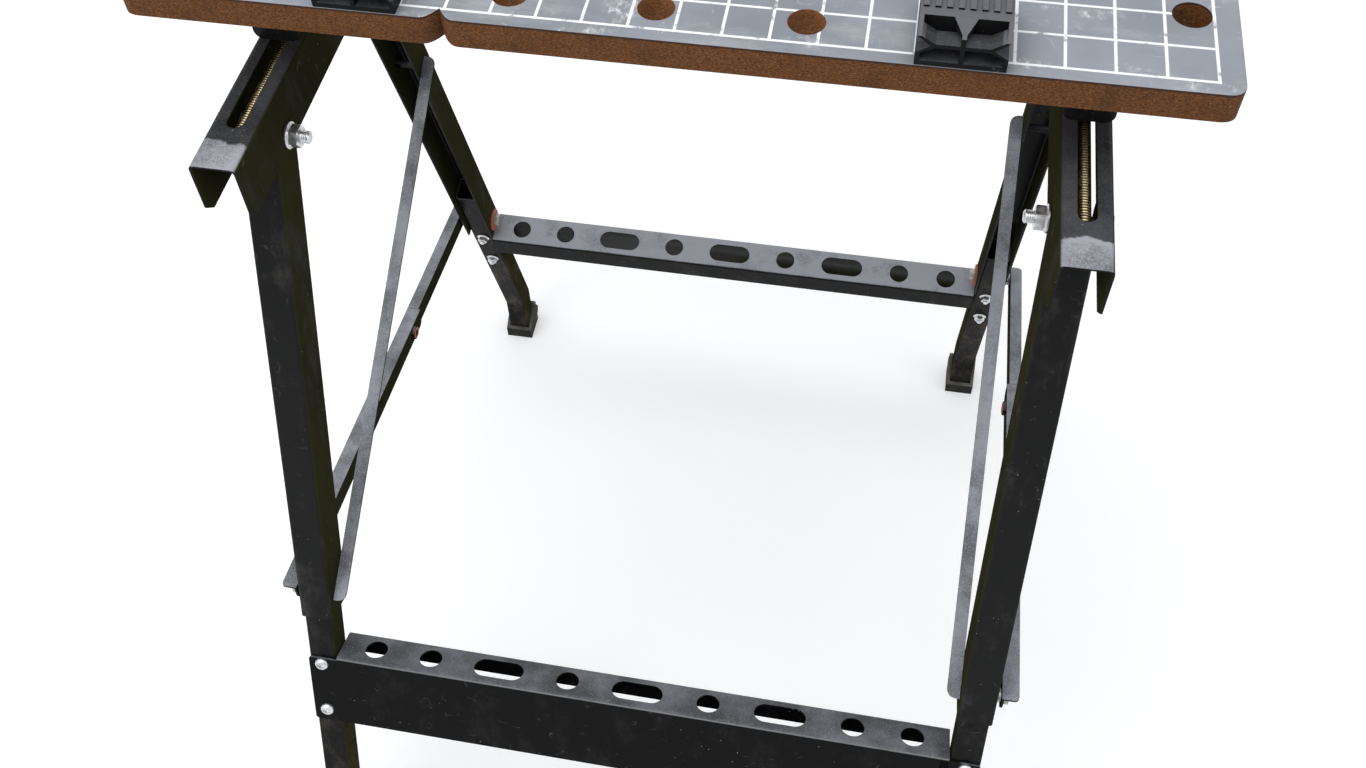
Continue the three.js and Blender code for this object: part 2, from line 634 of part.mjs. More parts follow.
const channelOuterX = channelX + CHANNEL_WIDTH / 2;
const channelInnerX = channelX - CHANNEL_WIDTH / 2;
const pivotNutX = channelInnerX - TOUCH_GAP;
const pivotTailX = pivotNutX - FLANGE_NUT_THICKNESS - PIVOT_BOLT_TAIL;

// Leg pivot bolt: hex head outside the channel, tail inside
function pivotBolt(name, side, frame) {
  const seat = channelOuterX + TOUCH_GAP;
  const r = PIVOT_BOLT_DIAMETER / 2;
  const shank = [
    [pivotTailX, 0], [pivotTailX, r - 1], [pivotTailX + 1.2, r], [seat + 1, r], [seat + 1, 0]];
  const head = bar(
    'x', PIVOT_HEAD_CORNERS, side * seat, side * (seat + PIVOT_HEAD_THICKNESS), frame.pivotY, pivotZ, 6);
  return mesh(name, join(turnedAcross(side, shank, frame.pivotY, pivotZ), head), zincPlate);
}

// Leg pivot nut: a flange against the channel, then a hexagon, on the tail of the bolt
function pivotNut(name, side, frame) {
  const bore = PIVOT_BOLT_DIAMETER + 2 * TOUCH_GAP;
  const rim = pivotNutX - FLANGE_NUT_RIM;
  const end = pivotNutX - FLANGE_NUT_THICKNESS;
  const along = (diameter, from, to, sides) => bar(
    'x', diameter, side * from, side * to, frame.pivotY, pivotZ, sides);
  const body = join(
    along(FLANGE_NUT_DIAMETER, pivotNutX, rim, 16), along(PIVOT_HEAD_CORNERS, pivotNutX - 1, end, 6));
  return mesh(name, cut(body, along(bore, pivotNutX + 1, end - 1, 10)), zincPlate);
}

// Web of a strap, from one end to the other. It is straight along the edge, -1 or +1, that carries the
// flange, and round at the corners of the other edge.
function strapWeb(edge, width, from, to) {
  const half = width / 2;
  const web = new THREE.Shape();
  web.moveTo(edge * half, from);
  web.lineTo(edge * half, to);
  web.lineTo(0, to);
  web.quadraticCurveTo(-edge * half, to, -edge * half, to + half);
  web.lineTo(-edge * half, from - half);
  web.quadraticCurveTo(-edge * half, from, 0, from);
  return web;
}

// Web of the rear link of a stay. Its round end at the knee passes under the flange of the front link.
function kneeWeb(to) {
  const half = STAY_WIDTH / 2;
  const neck = half - SHEET - TOUCH_GAP;
  const step = -KNEE_LAP - TOUCH_GAP;
  const web = new THREE.Shape();
  web.moveTo(half, step);
  web.lineTo(neck, step);
  web.absarc(0, 0, neck, 0, Math.PI, false);
  web.lineTo(-half, step);
  web.lineTo(-half, to + half);
  web.quadraticCurveTo(-half, to, 0, to);
  web.lineTo(half, to);
  return web;
}

// Pivot hole in the web of a strap, drawn the other way round from the web's outline
function pivotHole(web, z) {
  const radius = STAY_BOLT_DIAMETER / 2 + HOLE_CLEARANCE;
  const clockwise = !THREE.ShapeUtils.isClockWise(web.getPoints());
  web.holes.push(new THREE.Path().absarc(0, z, radius, 0, Math.PI * 2, clockwise));
}

// Flange of a strap between two distances from the bench's middle. Its outer corners are round, but an
// end that butts against another flange is square.
function strapFlange(side, edge, width, root, reach, from, to, radius, squareEnd) {
  const outer = side * reach;
  const corner = outer - Math.sign(outer - side * root) * radius;
  const plan = new THREE.Shape();
  plan.moveTo(from, side * root);
  if (squareEnd === from) {
    plan.lineTo(from, outer);
  } else {
    plan.lineTo(from, corner);
    plan.quadraticCurveTo(from, outer, from - radius, outer);
  }
  if (squareEnd === to) {
    plan.lineTo(to, outer);
  } else {
    plan.lineTo(to + radius, outer);
    plan.quadraticCurveTo(to, outer, to, corner);
  }
  plan.lineTo(to, side * root);
  const skin = edge * width / 2;
  const inner = skin - edge * SHEET;
  return slab(plan, 'y', Math.min(skin, inner), Math.max(skin, inner));
}

// Strap of sheet steel, hanging from (0, 0): a web that stands webNear from the bench's middle, with what
// is fixed to it
function strap(name, side, web, webNear, ...fixed) {
  const [from, to] = side < 0 ? [-webNear - SHEET, -webNear] : [webNear, webNear + SHEET];
  return mesh(name, join(slab(web, 'x', from, to, 6), ...fixed), blackEnamel);
}

// Round bolt or rivet along X at a point, from steps of (from, to, diameter) out from the bench's middle
function pin(side, y, z, ...steps) {
  const profile = [[steps[0][0], 0]];
  for (const [from, to, diameter] of steps) {
    profile.push([from, diameter / 2], [to, diameter / 2]);
  }
  profile.push([steps[steps.length - 1][1], 0]);
  return turnedAcross(side, profile, y, z);
}

// Shoulder bolt on a front leg that carries its stay, head outside
function frontStayBolt(name, side) {
  const seat = stayFrontX + SHEET + TOUCH_GAP;
  return mesh(name, pin(
    side, 0, -frontStayDistance, [legInnerX, legOuterX + TOUCH_GAP, STAY_BOLT_DIAMETER],
    [legOuterX + TOUCH_GAP, stayFrontX - TOUCH_GAP, SLEEVE_DIAMETER],
    [stayFrontX - TOUCH_GAP, seat, STAY_BOLT_DIAMETER],
    [seat, seat + STAY_HEAD_THICKNESS, STAY_HEAD_DIAMETER]), zincPlate);
}

// Rivet on a rear leg that carries its inner brace
function bracePivot(name, side) {
  const outer = legOuterX + TOUCH_GAP;
  const inner = braceWebX - TOUCH_GAP;
  return mesh(name, pin(
    side, 0, -REAR_BRACE_DISTANCE, [inner - STAY_HEAD_THICKNESS, inner, BRACE_HEAD_DIAMETER],
    [inner, outer, STAY_BOLT_DIAMETER],
    [outer, outer + STAY_HEAD_THICKNESS, STAY_HEAD_DIAMETER]), zincPlate);
}

const stayWasherX = legInnerX - TOUCH_GAP;
const stayHexX = stayWasherX - WASHER_THICKNESS - TOUCH_GAP;

// Shoulder bolt on a rear leg at the end of its stay, hex head inside
function rearStayBolt(name, side) {
  const shoulder = legOuterX + TOUCH_GAP;
  const body = pin(
    side, 0, -rearStayDistance, [stayHexX - 1, shoulder, STAY_BOLT_DIAMETER],
    [shoulder, stayRearX - TOUCH_GAP, SLEEVE_DIAMETER]);
  const crown = stayHexX - STAY_HEX_THICKNESS;
  const head = bar('x', STAY_HEX_CORNERS, side * stayHexX, side * crown, 0, -rearStayDistance, 6);
  return mesh(name, join(body, head), zincPlate);
}

// Red fibre washer under the head of a rear stay bolt
function rearStayWasher(name, side) {
  const bore = STAY_BOLT_DIAMETER + 2 * TOUCH_GAP;
  const inner = stayWasherX - WASHER_THICKNESS;
  const along = (diameter, from, to, sides) => bar(
    'x', diameter, side * from, side * to, 0, -rearStayDistance, sides);
  const disc = along(WASHER_DIAMETER, inner, stayWasherX, 16);
  return mesh(name, cut(disc, along(bore, inner - 1, stayWasherX + 1, 10)), redFibre);
}

// Knee rivet that joins the two links of a stay
function kneeRivet(name, side) {
  const inner = stayFrontX - TOUCH_GAP;
  const outer = stayRearX + SHEET + TOUCH_GAP;
  return mesh(name, pin(
    side, 0, -stayFrontLength, [inner - STAY_STANDOFF + 4 * TOUCH_GAP, inner, STAY_HEAD_DIAMETER],
    [inner, outer, STAY_BOLT_DIAMETER],
    [outer, outer + STAY_HEAD_THICKNESS, STAY_HEAD_DIAMETER]), zincPlate);
}

// Stud clinched in the loose end of a strap, its head on the side away from the leg
function clinchedStud(side, length, webNear, headSide, diameter) {
  const [from, to] = headSide < 0
    ? [webNear - STAY_HEAD_THICKNESS, webNear + SHEET / 2]
    : [webNear + SHEET / 2, webNear + SHEET + STAY_HEAD_THICKNESS];
  return pin(side, 0, -length, [from, to, diameter]);
}

// Bench dog: a moulded jaw with a groove along each side, a bevelled front with four open cells and a
// tongue between the upper two, a ribbed roof and a round post
function benchDog(name) {
  const half = DOG_WIDTH / 2;
  const front = -DOG_HOLE_EDGE + TOUCH_GAP;
  const rear = front + DOG_DEPTH;
  const roofFront = front + DOG_CELL_DEPTH;
  const foot = TOUCH_GAP;
  const top = foot + DOG_HEIGHT;
  const [lower, groove, upper] = [DOG_LOWER_LIP, DOG_GROOVE_HEIGHT, DOG_UPPER_LIP].map((z) => foot + z);
  const waist = half - DOG_GROOVE_DEPTH;
  const w = DOG_WALL;
  const right = [[foot, half], [lower, half], [groove, waist], [upper, half], [top, half]];
  const left = right.map(([z, x]) => [z, -x]).reverse();
  const body = slab(outline(...right, ...left), 'y', front, rear);
  const cells = [-1, 1].flatMap((side) => [
    outline(
      [foot + DOG_FLOOR, side * w / 2], [foot + DOG_FLOOR, side * (half - w)], [lower, side * (half - w)],
      [groove - w / 2, side * (waist - w)], [groove - w / 2, side * w / 2]),
    outline(
      [groove + w / 2, side * w / 2], [groove + w / 2, side * (waist - w)], [upper, side * (half - w)],
      [top + 1, side * (half - w)], [top + 1, side * w / 2]),
  ].map((cell) => slab(cell, 'y', front - 1, roofFront)));
  const tongue = outline(
    [-DOG_TONGUE_WIDTH / 2, roofFront + 1], [-DOG_TONGUE_WIDTH / 2, roofFront], [0, front],
    [DOG_TONGUE_WIDTH / 2, roofFront], [DOG_TONGUE_WIDTH / 2, roofFront + 1]);
  const bevel = outline(
    [front - 1, upper], [front, upper], [roofFront, top], [roofFront, top + 1], [front - 1, top + 1]);
  const ribs = Array.from({ length: DOG_RIB_COUNT }, (unused, i) => {
    const x = -half + (i + 0.5) * DOG_WIDTH / DOG_RIB_COUNT;
    const thick = DOG_WIDTH / DOG_RIB_COUNT / 4;
    return block(x - thick, x + thick, front + DOG_RIB_SETBACK, rear, top - 1, top + DOG_RIB_HEIGHT);
  });
  const postDiameter = DOG_HOLE_DIAMETER - 4 * HOLE_CLEARANCE;
  const post = bar('z', postDiameter, foot - DOG_POST_LENGTH, foot + 1, 0, 0, 18);
  const open = join(cut(body, ...cells), slab(tongue, 'z', top - DOG_TONGUE_THICKNESS, top));
  const whole = join(cut(open, slab(bevel, 'x', -half - 1, half + 1)), ...ribs, post);
  return mesh(name, whole, blackPlastic);
}

// Points of the folding linkage at rest, in the bench's (Y, Z)
const frontStayPoint = legPoint(FRONT, frontStayDistance);
const rearBracePoint = legPoint(REAR, REAR_BRACE_DISTANCE);
const rearStayPoint = legPoint(REAR, rearStayDistance);
const stayLength = frontStayPoint.distanceTo(rearStayPoint);
const stayFrontLength = stayLength - STAY_REAR_LENGTH;
const stayKnee = frontStayPoint.clone().lerp(rearStayPoint, stayFrontLength / stayLength);
const braceLength = rearBracePoint.distanceTo(frontStayPoint);

const bench = new THREE.Group();

// Fixed frame: channels, fixed jaw, bushes and leg pivots
for (const [label, side] of SIDES) {
  bench.add(
    channel(`channel_${label}`, side),
    riser(`fixed_riser_${label}`, side, fixedRiserFront, 1, []),
    spindleBush(`spindle_bush_${label}`, side));
  for (const frame of [FRONT, REAR]) {
    bench.add(
      pivotBolt(`${frame.name}_pivot_bolt_${label}`, side, frame),
      pivotNut(`${frame.name}_pivot_nut_${label}`, side, frame));
  }
}
bench.add(jawBoard('fixed_jaw', 1, fixedJawRear, fixedRiserFront));

// Moving jaw with its risers and nuts, and the spindles and cranks that drive it
bench.add(jawBoard('moving_jaw', -1, movingJawFront, movingRiserFront));
for (const [label, side] of SIDES) {
  bench.add(
    riser(`moving_riser_${label}`, side, movingRiserFront, -1, [stemHole()]),
    spindleNut(`spindle_nut_${label}`, side),
    spindle(`spindle_${label}`, side),
    crank(`crank_${label}`, side),
    crankKnob(`crank_knob_${label}`, side));
}

// Bench dogs in the outer holes of both rows, their high sides facing each other
for (const [label, side] of SIDES) {
  const near = benchDog(`bench_dog_front_${label}`);
  near.position.set(side * 2 * DOG_HOLE_PITCH, movingJawFront + DOG_HOLE_EDGE, BENCH_HEIGHT);
  const far = benchDog(`bench_dog_rear_${label}`);
  far.position.set(side * 2 * DOG_HOLE_PITCH, fixedJawRear - DOG_HOLE_EDGE, BENCH_HEIGHT);
  far.rotation.z = Math.PI;
  bench.add(near, far);
}

// Leg frames
const pivotBore = [0, PIVOT_BOLT_DIAMETER];
const LEG_BORES = {
  front: [pivotBore, [frontStayDistance, STAY_BOLT_DIAMETER]],
  rear: [pivotBore, [REAR_BRACE_DISTANCE, STAY_BOLT_DIAMETER], [rearStayDistance, STAY_BOLT_DIAMETER]],
};
for (const frame of [FRONT, REAR]) {
  const legs = hanging(legPoint(frame, 0), legPoint(frame, 1));
  const bores = LEG_BORES[frame.name];
  legs.add(stretcher(frame));
  for (const [label, side] of SIDES) {
    legs.add(
      upperLeg(`${frame.name}_upper_leg_${label}`, side, frame, bores),
      lowerLeg(`${frame.name}_lower_leg_${label}`, side, frame, bores),
      boot(`${frame.name}_boot_${label}`, side, frame));
    if (frame === FRONT) {
      legs.add(frontStayBolt(`front_stay_bolt_${label}`, side));
    } else {
      legs.add(
        bracePivot(`brace_pivot_${label}`, side),
        rearStayBolt(`rear_stay_bolt_${label}`, side),
        rearStayWasher(`rear_stay_washer_${label}`, side));
    }
  }
  bench.add(legs);
}

// Inner brace on one side: hinged on the rear leg, with its flange on top and facing inward
function innerBrace(name, side) {
  const from = BRACE_WIDTH / 2;
  const to = -braceLength - BRACE_WIDTH / 2;
  const web = strapWeb(-1, BRACE_WIDTH, from, to);
  pivotHole(web, 0);
  const flange = strapFlange(
    side, -1, BRACE_WIDTH, braceWebX + SHEET / 2, braceWebX - BRACE_FLANGE, from, to, BRACE_CORNER_RADIUS);
  return strap(
    name, side, web, braceWebX, flange,
    clinchedStud(side, braceLength, braceWebX, -1, BRACE_HEAD_DIAMETER));
}

// Front link of a stay: hinged on the front leg, its flange running on past the knee
function stayFrontLink(name, side) {
  const from = STAY_WIDTH / 2;
  const to = -stayFrontLength - KNEE_LAP;
  const web = strapWeb(1, STAY_WIDTH, from, to);
  pivotHole(web, 0);
  pivotHole(web, -stayFrontLength);
  return strap(name, side, web, stayFrontX, strapFlange(
    side, 1, STAY_WIDTH, stayFrontX + SHEET / 2, stayReach, from, to, STAY_CORNER_RADIUS, to));
}

// Rear link of a stay: hinged at the knee, its flange butting against the front link's
function stayRearLink(name, side) {
  const from = -KNEE_LAP - TOUCH_GAP;
  const to = -STAY_REAR_LENGTH - STAY_WIDTH / 2;
  const web = kneeWeb(to);
  pivotHole(web, 0);
  const flange = strapFlange(
    side, 1, STAY_WIDTH, stayRearX + SHEET / 2, stayReach, from, to, STAY_CORNER_RADIUS, from);
  return strap(
    name, side, web, stayRearX, flange,
    clinchedStud(side, STAY_REAR_LENGTH, stayRearX, 1, STAY_HEAD_DIAMETER));
}

// Inner braces and two-link folding stays
for (const [label, side] of SIDES) {
  const brace = hanging(rearBracePoint, frontStayPoint);
  brace.add(innerBrace(`inner_brace_${label}`, side));
  const stayFront = hanging(frontStayPoint, rearStayPoint);
  stayFront.add(stayFrontLink(`stay_front_${label}`, side), kneeRivet(`knee_rivet_${label}`, side));
  const stayRear = hanging(stayKnee, rearStayPoint);
  stayRear.add(stayRearLink(`stay_rear_${label}`, side));
  bench.add(brace, stayFront, stayRear);
}

bench.updateMatrixWorld(true);
const extent = new THREE.Box3().setFromObject(bench, true);
bench.position.y = -(extent.min.y + extent.max.y) / 2;
bench.updateMatrixWorld(true);

export default bench;
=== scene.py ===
"""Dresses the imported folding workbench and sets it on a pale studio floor.

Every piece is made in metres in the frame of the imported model. Sizes in the classes are in
millimetres, as on a workshop drawing, and are turned into metres where a mesh is made. Heights and
depths that a finish reads on the surface, and the places of the lamps, are in metres.
"""

import json
import logging
import math
from abc import ABC, abstractmethod
from dataclasses import dataclass, field
from enum import Enum
from typing import Callable, Sequence

import bmesh
import bpy
from mathutils import Matrix, Vector


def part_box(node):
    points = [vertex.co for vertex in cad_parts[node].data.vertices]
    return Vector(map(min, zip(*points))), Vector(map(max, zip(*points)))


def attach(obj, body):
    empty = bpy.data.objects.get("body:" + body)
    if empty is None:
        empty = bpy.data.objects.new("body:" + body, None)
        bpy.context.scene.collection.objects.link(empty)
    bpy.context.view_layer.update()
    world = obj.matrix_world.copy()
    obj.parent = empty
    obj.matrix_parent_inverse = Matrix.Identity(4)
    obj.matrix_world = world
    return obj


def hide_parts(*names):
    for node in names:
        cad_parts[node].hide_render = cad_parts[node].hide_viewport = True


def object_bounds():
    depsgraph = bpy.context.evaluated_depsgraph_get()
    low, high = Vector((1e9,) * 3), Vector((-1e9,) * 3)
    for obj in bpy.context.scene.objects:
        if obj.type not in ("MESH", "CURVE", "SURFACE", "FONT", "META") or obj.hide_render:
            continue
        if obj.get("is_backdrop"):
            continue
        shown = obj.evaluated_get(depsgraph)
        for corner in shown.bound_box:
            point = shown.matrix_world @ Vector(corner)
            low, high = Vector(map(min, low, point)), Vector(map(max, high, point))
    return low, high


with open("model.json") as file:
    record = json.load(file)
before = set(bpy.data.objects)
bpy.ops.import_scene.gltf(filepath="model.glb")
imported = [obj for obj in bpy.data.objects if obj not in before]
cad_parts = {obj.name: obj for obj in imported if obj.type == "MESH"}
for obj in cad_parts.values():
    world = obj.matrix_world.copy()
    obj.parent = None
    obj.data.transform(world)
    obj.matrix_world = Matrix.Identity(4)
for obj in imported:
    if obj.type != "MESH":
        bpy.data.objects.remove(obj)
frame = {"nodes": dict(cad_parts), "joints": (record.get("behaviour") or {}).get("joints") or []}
CAD_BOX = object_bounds()

LOG = logging.getLogger("workbench")
MM = 0.001
ARC_SHARE = 0.49  # share of an edge that the arc at its end may take
LEAST_BEND = 0.4  # smallest radius inside a bend, in millimetres
LEAST_RADIUS = 0.02  # stands for a point at the end of a turned solid
NUDGE = 0.01  # keeps the faces of a cutting tool off the faces of the piece
PAST = 1.0  # how far a cutting tool reaches past the piece, in millimetres
SHEET_EDGE = 0.35  # rounding of a sheet's cut edges, in millimetres

Point = tuple[float, float]
Triple = tuple[float, float, float]
Colour = Triple
Place = Callable[[float, float, float], Vector]
Feed = float | Colour | bpy.types.NodeSocket


class Side(Enum):
    """The two ends of the bench, by the sign of X."""

    LEFT = -1
    RIGHT = 1

    @property
    def label(self) -> str:
        """Name of the side as the nodes spell it."""
        return self.name.lower()


class Cut(Enum):
    """Boolean operations on meshes."""

    AWAY = "DIFFERENCE"
    JOIN = "UNION"
    KEEP = "INTERSECT"


# Mesh making


def fillet(points: Sequence[Point], radius: float, steps: int = 4) -> list[Point]:
    """Rounds the inner corners of an open outline.

    Args:
        points: Corner points.
        radius: Radius of each rounded corner.
        steps: Straight steps round a corner.

    Returns:
        The outline with arcs in place of its inner corners.
    """
    out = [points[0]]
    for before, here, after in zip(points, points[1:], points[2:]):
        a = Vector(before) - Vector(here)
        b = Vector(after) - Vector(here)
        half = a.angle(b) / 2
        reach = min(radius / math.tan(half), a.length * ARC_SHARE, b.length * ARC_SHARE)
        start = Vector(here) + a.normalized() * reach
        end = Vector(here) + b.normalized() * reach
        for i in range(steps + 1):
            t = i / steps
            curve = start.lerp(Vector(here), t).lerp(Vector(here).lerp(end, t), t)
            out.append((curve.x, curve.y))
    out.append(points[-1])
    return out


def offset(points: Sequence[Point], distance: float) -> list[Point]:
    """Moves an open outline sideways, to its left where the distance is positive.

    Args:
        points: Corner points.
        distance: How far to move it.

    Returns:
        The moved corner points.
    """
    out = []
    last = len(points) - 1
    for i, here in enumerate(points):
        normals = []
        for a, b in ((i - 1, i), (i, i + 1)):
            if 0 <= a and b <= last:
                run = (Vector(points[b]) - Vector(points[a])).normalized()
                normals.append(Vector((-run.y, run.x)))
        middle = sum(normals, Vector((0.0, 0.0))).normalized()
        moved = Vector(here) + middle * (distance / middle.dot(normals[0]))
        out.append((moved.x, moved.y))
    return out


def sheet_loop(points: Sequence[Point], thickness: float, radius: float) -> list[Point]:
    """Closed section of a bent sheet whose outer skin follows the points.

    Args:
        points: Corners of the outer skin, with the sheet on its left.
        thickness: Thickness of the sheet.
        radius: Outer bend radius.

    Returns:
        The closed section.
    """
    outer = fillet(points, radius)
    inner = fillet(offset(points, thickness), max(radius - thickness, LEAST_BEND))
    return outer + inner[::-1]


def round_outline(points: Sequence[Point], radius: float, steps: int = 5) -> list[Point]:
    """Rounds every corner of a closed outline.

    Args:
        points: Corner points.
        radius: Radius of each corner.
        steps: Straight steps round a corner.

    Returns:
        The rounded closed outline.
    """
    ring = list(points)
    out: list[Point] = []
    for i, here in enumerate(ring):
        out.extend(fillet([ring[i - 1], here, ring[(i + 1) % len(ring)]], radius, steps)[1:-1])
    return out


def circle(u: float, v: float, diameter: float, steps: int = 40) -> list[Point]:
    """Round outline about a point.

    Args:
        u: Middle along u.
        v: Middle along v.
        diameter: Diameter.
        steps: Sides.

    Returns:
        The closed outline.
    """
    r = diameter / 2
    turn = math.tau / steps
    return [(u + r * math.cos(i * turn), v + r * math.sin(i * turn)) for i in range(steps)]


def stadium(u: float, v: float, length: float, width: float, steps: int = 16) -> list[Point]:
    """Outline of a slot that runs along u, about a point.

    Args:
        u: Middle along u.
        v: Middle along v.
        length: Length over all.
        width: Width.
        steps: Straight steps round an end.

    Returns:
        The closed outline.
    """
    r = width / 2
    reach = length / 2 - r
    right = [(u + reach + r * math.sin(a), v - r * math.cos(a))
             for a in (math.pi * i / steps for i in range(steps + 1))]
    left = [(u - reach - r * math.sin(a), v + r * math.cos(a))
            for a in (math.pi * i / steps for i in range(steps + 1))]
    return right + left


def upright(u: float, v: float, t: float) -> Vector:
    """Place of a plan outline pushed along Z."""
    return Vector((u, v, t)) * MM


def across(u: float, v: float, t: float) -> Vector:
    """Place of a side outline, in (Y, Z), pushed along X."""
    return Vector((t, u, v)) * MM


def lengthways(u: float, v: float, t: float) -> Vector:
    """Place of an end outline, in (X, Z), pushed along Y."""
    return Vector((u, t, v)) * MM


def frame_along(seat: Vector, axis: Vector) -> Place:
    """Placing whose third number runs from a seat along an axis, in millimetres.

    Args:
        seat: Point where along is 0.
        axis: Direction of along.

    Returns:
        The placing.
    """
    turn = axis.normalized().to_track_quat("Z", "Y").to_matrix()
    return lambda u, v, t: (seat + turn @ Vector((u, v, t))) * MM


def millimetres(node: str) -> tuple[Vector, Vector]:
    """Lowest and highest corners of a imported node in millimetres."""
    low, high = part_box(node)
    return low / MM, high / MM


def joint_point(name: str) -> Point:
    """(Y, Z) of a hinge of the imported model, in millimetres.

    Args:
        name: Name of the hinge.

    Returns:
        Its place across the bench.
    """
    for joint in frame["joints"]:
        if joint["name"] == name:
            return joint["pos_m"][1] / MM, joint["pos_m"][2] / MM
    raise KeyError(name)


class MeshWork:
    """One closed mesh in the making."""

    def __init__(self) -> None:
        """Starts with an empty mesh."""
        self.bm = bmesh.new()

    def prism(self, loop: Sequence[Point], place: Place, start: float, end: float) -> "MeshWork":
        """Adds a flat outline pushed from start to end.

        Args:
            loop: Closed outline.
            place: Puts (u, v, along) in the frame, in metres.
            start: Where the push begins.
            end: Where it ends.

        Returns:
            This work.
        """
        near = [self.bm.verts.new(place(u, v, start)) for u, v in loop]
        far = [self.bm.verts.new(place(u, v, end)) for u, v in loop]
        count = len(loop)
        for i in range(count):
            j = (i + 1) % count
            self.bm.faces.new((near[i], near[j], far[j], far[i]))
        self.bm.faces.new(near[::-1])
        self.bm.faces.new(far)
        return self

    def loft(self, rings: Sequence[Sequence[Vector]]) -> "MeshWork":
        """Adds a skin over rings of points, closed by a cap at both ends.

        Args:
            rings: Rings of the same number of points, in metres.

        Returns:
            This work.
        """
        rows = [[self.bm.verts.new(point) for point in ring] for ring in rings]
        count = len(rows[0])
        for low, high in zip(rows, rows[1:]):
            for i in range(count):
                j = (i + 1) % count
                self.bm.faces.new((low[i], low[j], high[j], high[i]))
        self.bm.faces.new(rows[0][::-1])
        self.bm.faces.new(rows[-1])
        return self

    def turned(self, profile: Sequence[Point], place: Place, steps: int = 32) -> "MeshWork":
        """Adds a turned solid.

        Args:
            profile: (along, radius) from one end to the other; ends are closed flat.
            place: Puts (across, across, along) in the frame, in metres.
            steps: Sides of the solid.

        Returns:
            This work.
        """
        return self.loft([
            [place(u, v, along) for u, v in circle(0, 0, 2 * max(radius, LEAST_RADIUS), steps)]
            for along, radius in profile])

    def object(self, name: str) -> bpy.types.Object:
        """Closes the work as an object of that name.

        Args:
            name: Name of the object.

        Returns:
            The object, linked into the scene.
        """
        bmesh.ops.recalc_face_normals(self.bm, faces=self.bm.faces)
        mesh = bpy.data.meshes.new(name)
        self.bm.to_mesh(mesh)
        self.bm.free()
        piece = bpy.data.objects.new(name, mesh)
        bpy.context.scene.collection.objects.link(piece)
        return piece


def combine(piece: bpy.types.Object, tool: MeshWork, how: Cut) -> None:
    """Cuts or joins a piece with a tool and keeps the result as its mesh.

    Args:
        piece: Object to change.
        tool: Closed mesh work, used up by the call.
        how: Operation.
    """
    cutter = tool.object("cutter")
    change = piece.modifiers.new("combine", "BOOLEAN")
    change.object = cutter
    change.operation = how.value
    change.solver = "EXACT"
    graph = bpy.context.evaluated_depsgraph_get()
    result = bpy.data.meshes.new_from_object(piece.evaluated_get(graph))
    piece.modifiers.clear()
    old = piece.data
    piece.data = result
    bpy.data.meshes.remove(old)
    spent = cutter.data
    bpy.data.objects.remove(cutter)
    bpy.data.meshes.remove(spent)


def smooth(piece: bpy.types.Object, edge: float, angle: float = 30.0,
           segments: int = 2) -> bpy.types.Object:
    """Rounds a piece's sharp edges a little and shades its curved faces smooth.

    Args:
        piece: Object to finish.
        edge: Width of the rounding in millimetres, or 0 for none.
        angle: Edges sharper than this many degrees are rounded.
        segments: Steps across a rounded edge.

    Returns:
        The same piece.
    """
    for face in piece.data.polygons:
        face.use_smooth = True
    piece.data.set_sharp_from_angle(angle=math.radians(angle))
    if edge > 0:
        soften(piece, edge, angle, segments)
    normals = piece.modifiers.new("even_faces", "WEIGHTED_NORMAL")
    normals.keep_sharp = True
    return piece


def soften(piece: bpy.types.Object, edge: float, angle: float = 40.0, segments: int = 2) -> None:
    """Adds a small rounding to the edges of a piece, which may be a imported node.

    Args:
        piece: Object to finish.
        edge: Width of the rounding in millimetres.
        angle: Edges sharper than this many degrees are rounded.
        segments: Steps across a rounded edge.
    """
    bevel = piece.modifiers.new("soft_edges", "BEVEL")
    bevel.width = edge * MM
    bevel.segments = segments
    bevel.limit_method = "ANGLE"
    bevel.angle_limit = math.radians(angle)
    bevel.use_clamp_overlap = True


# Finishes


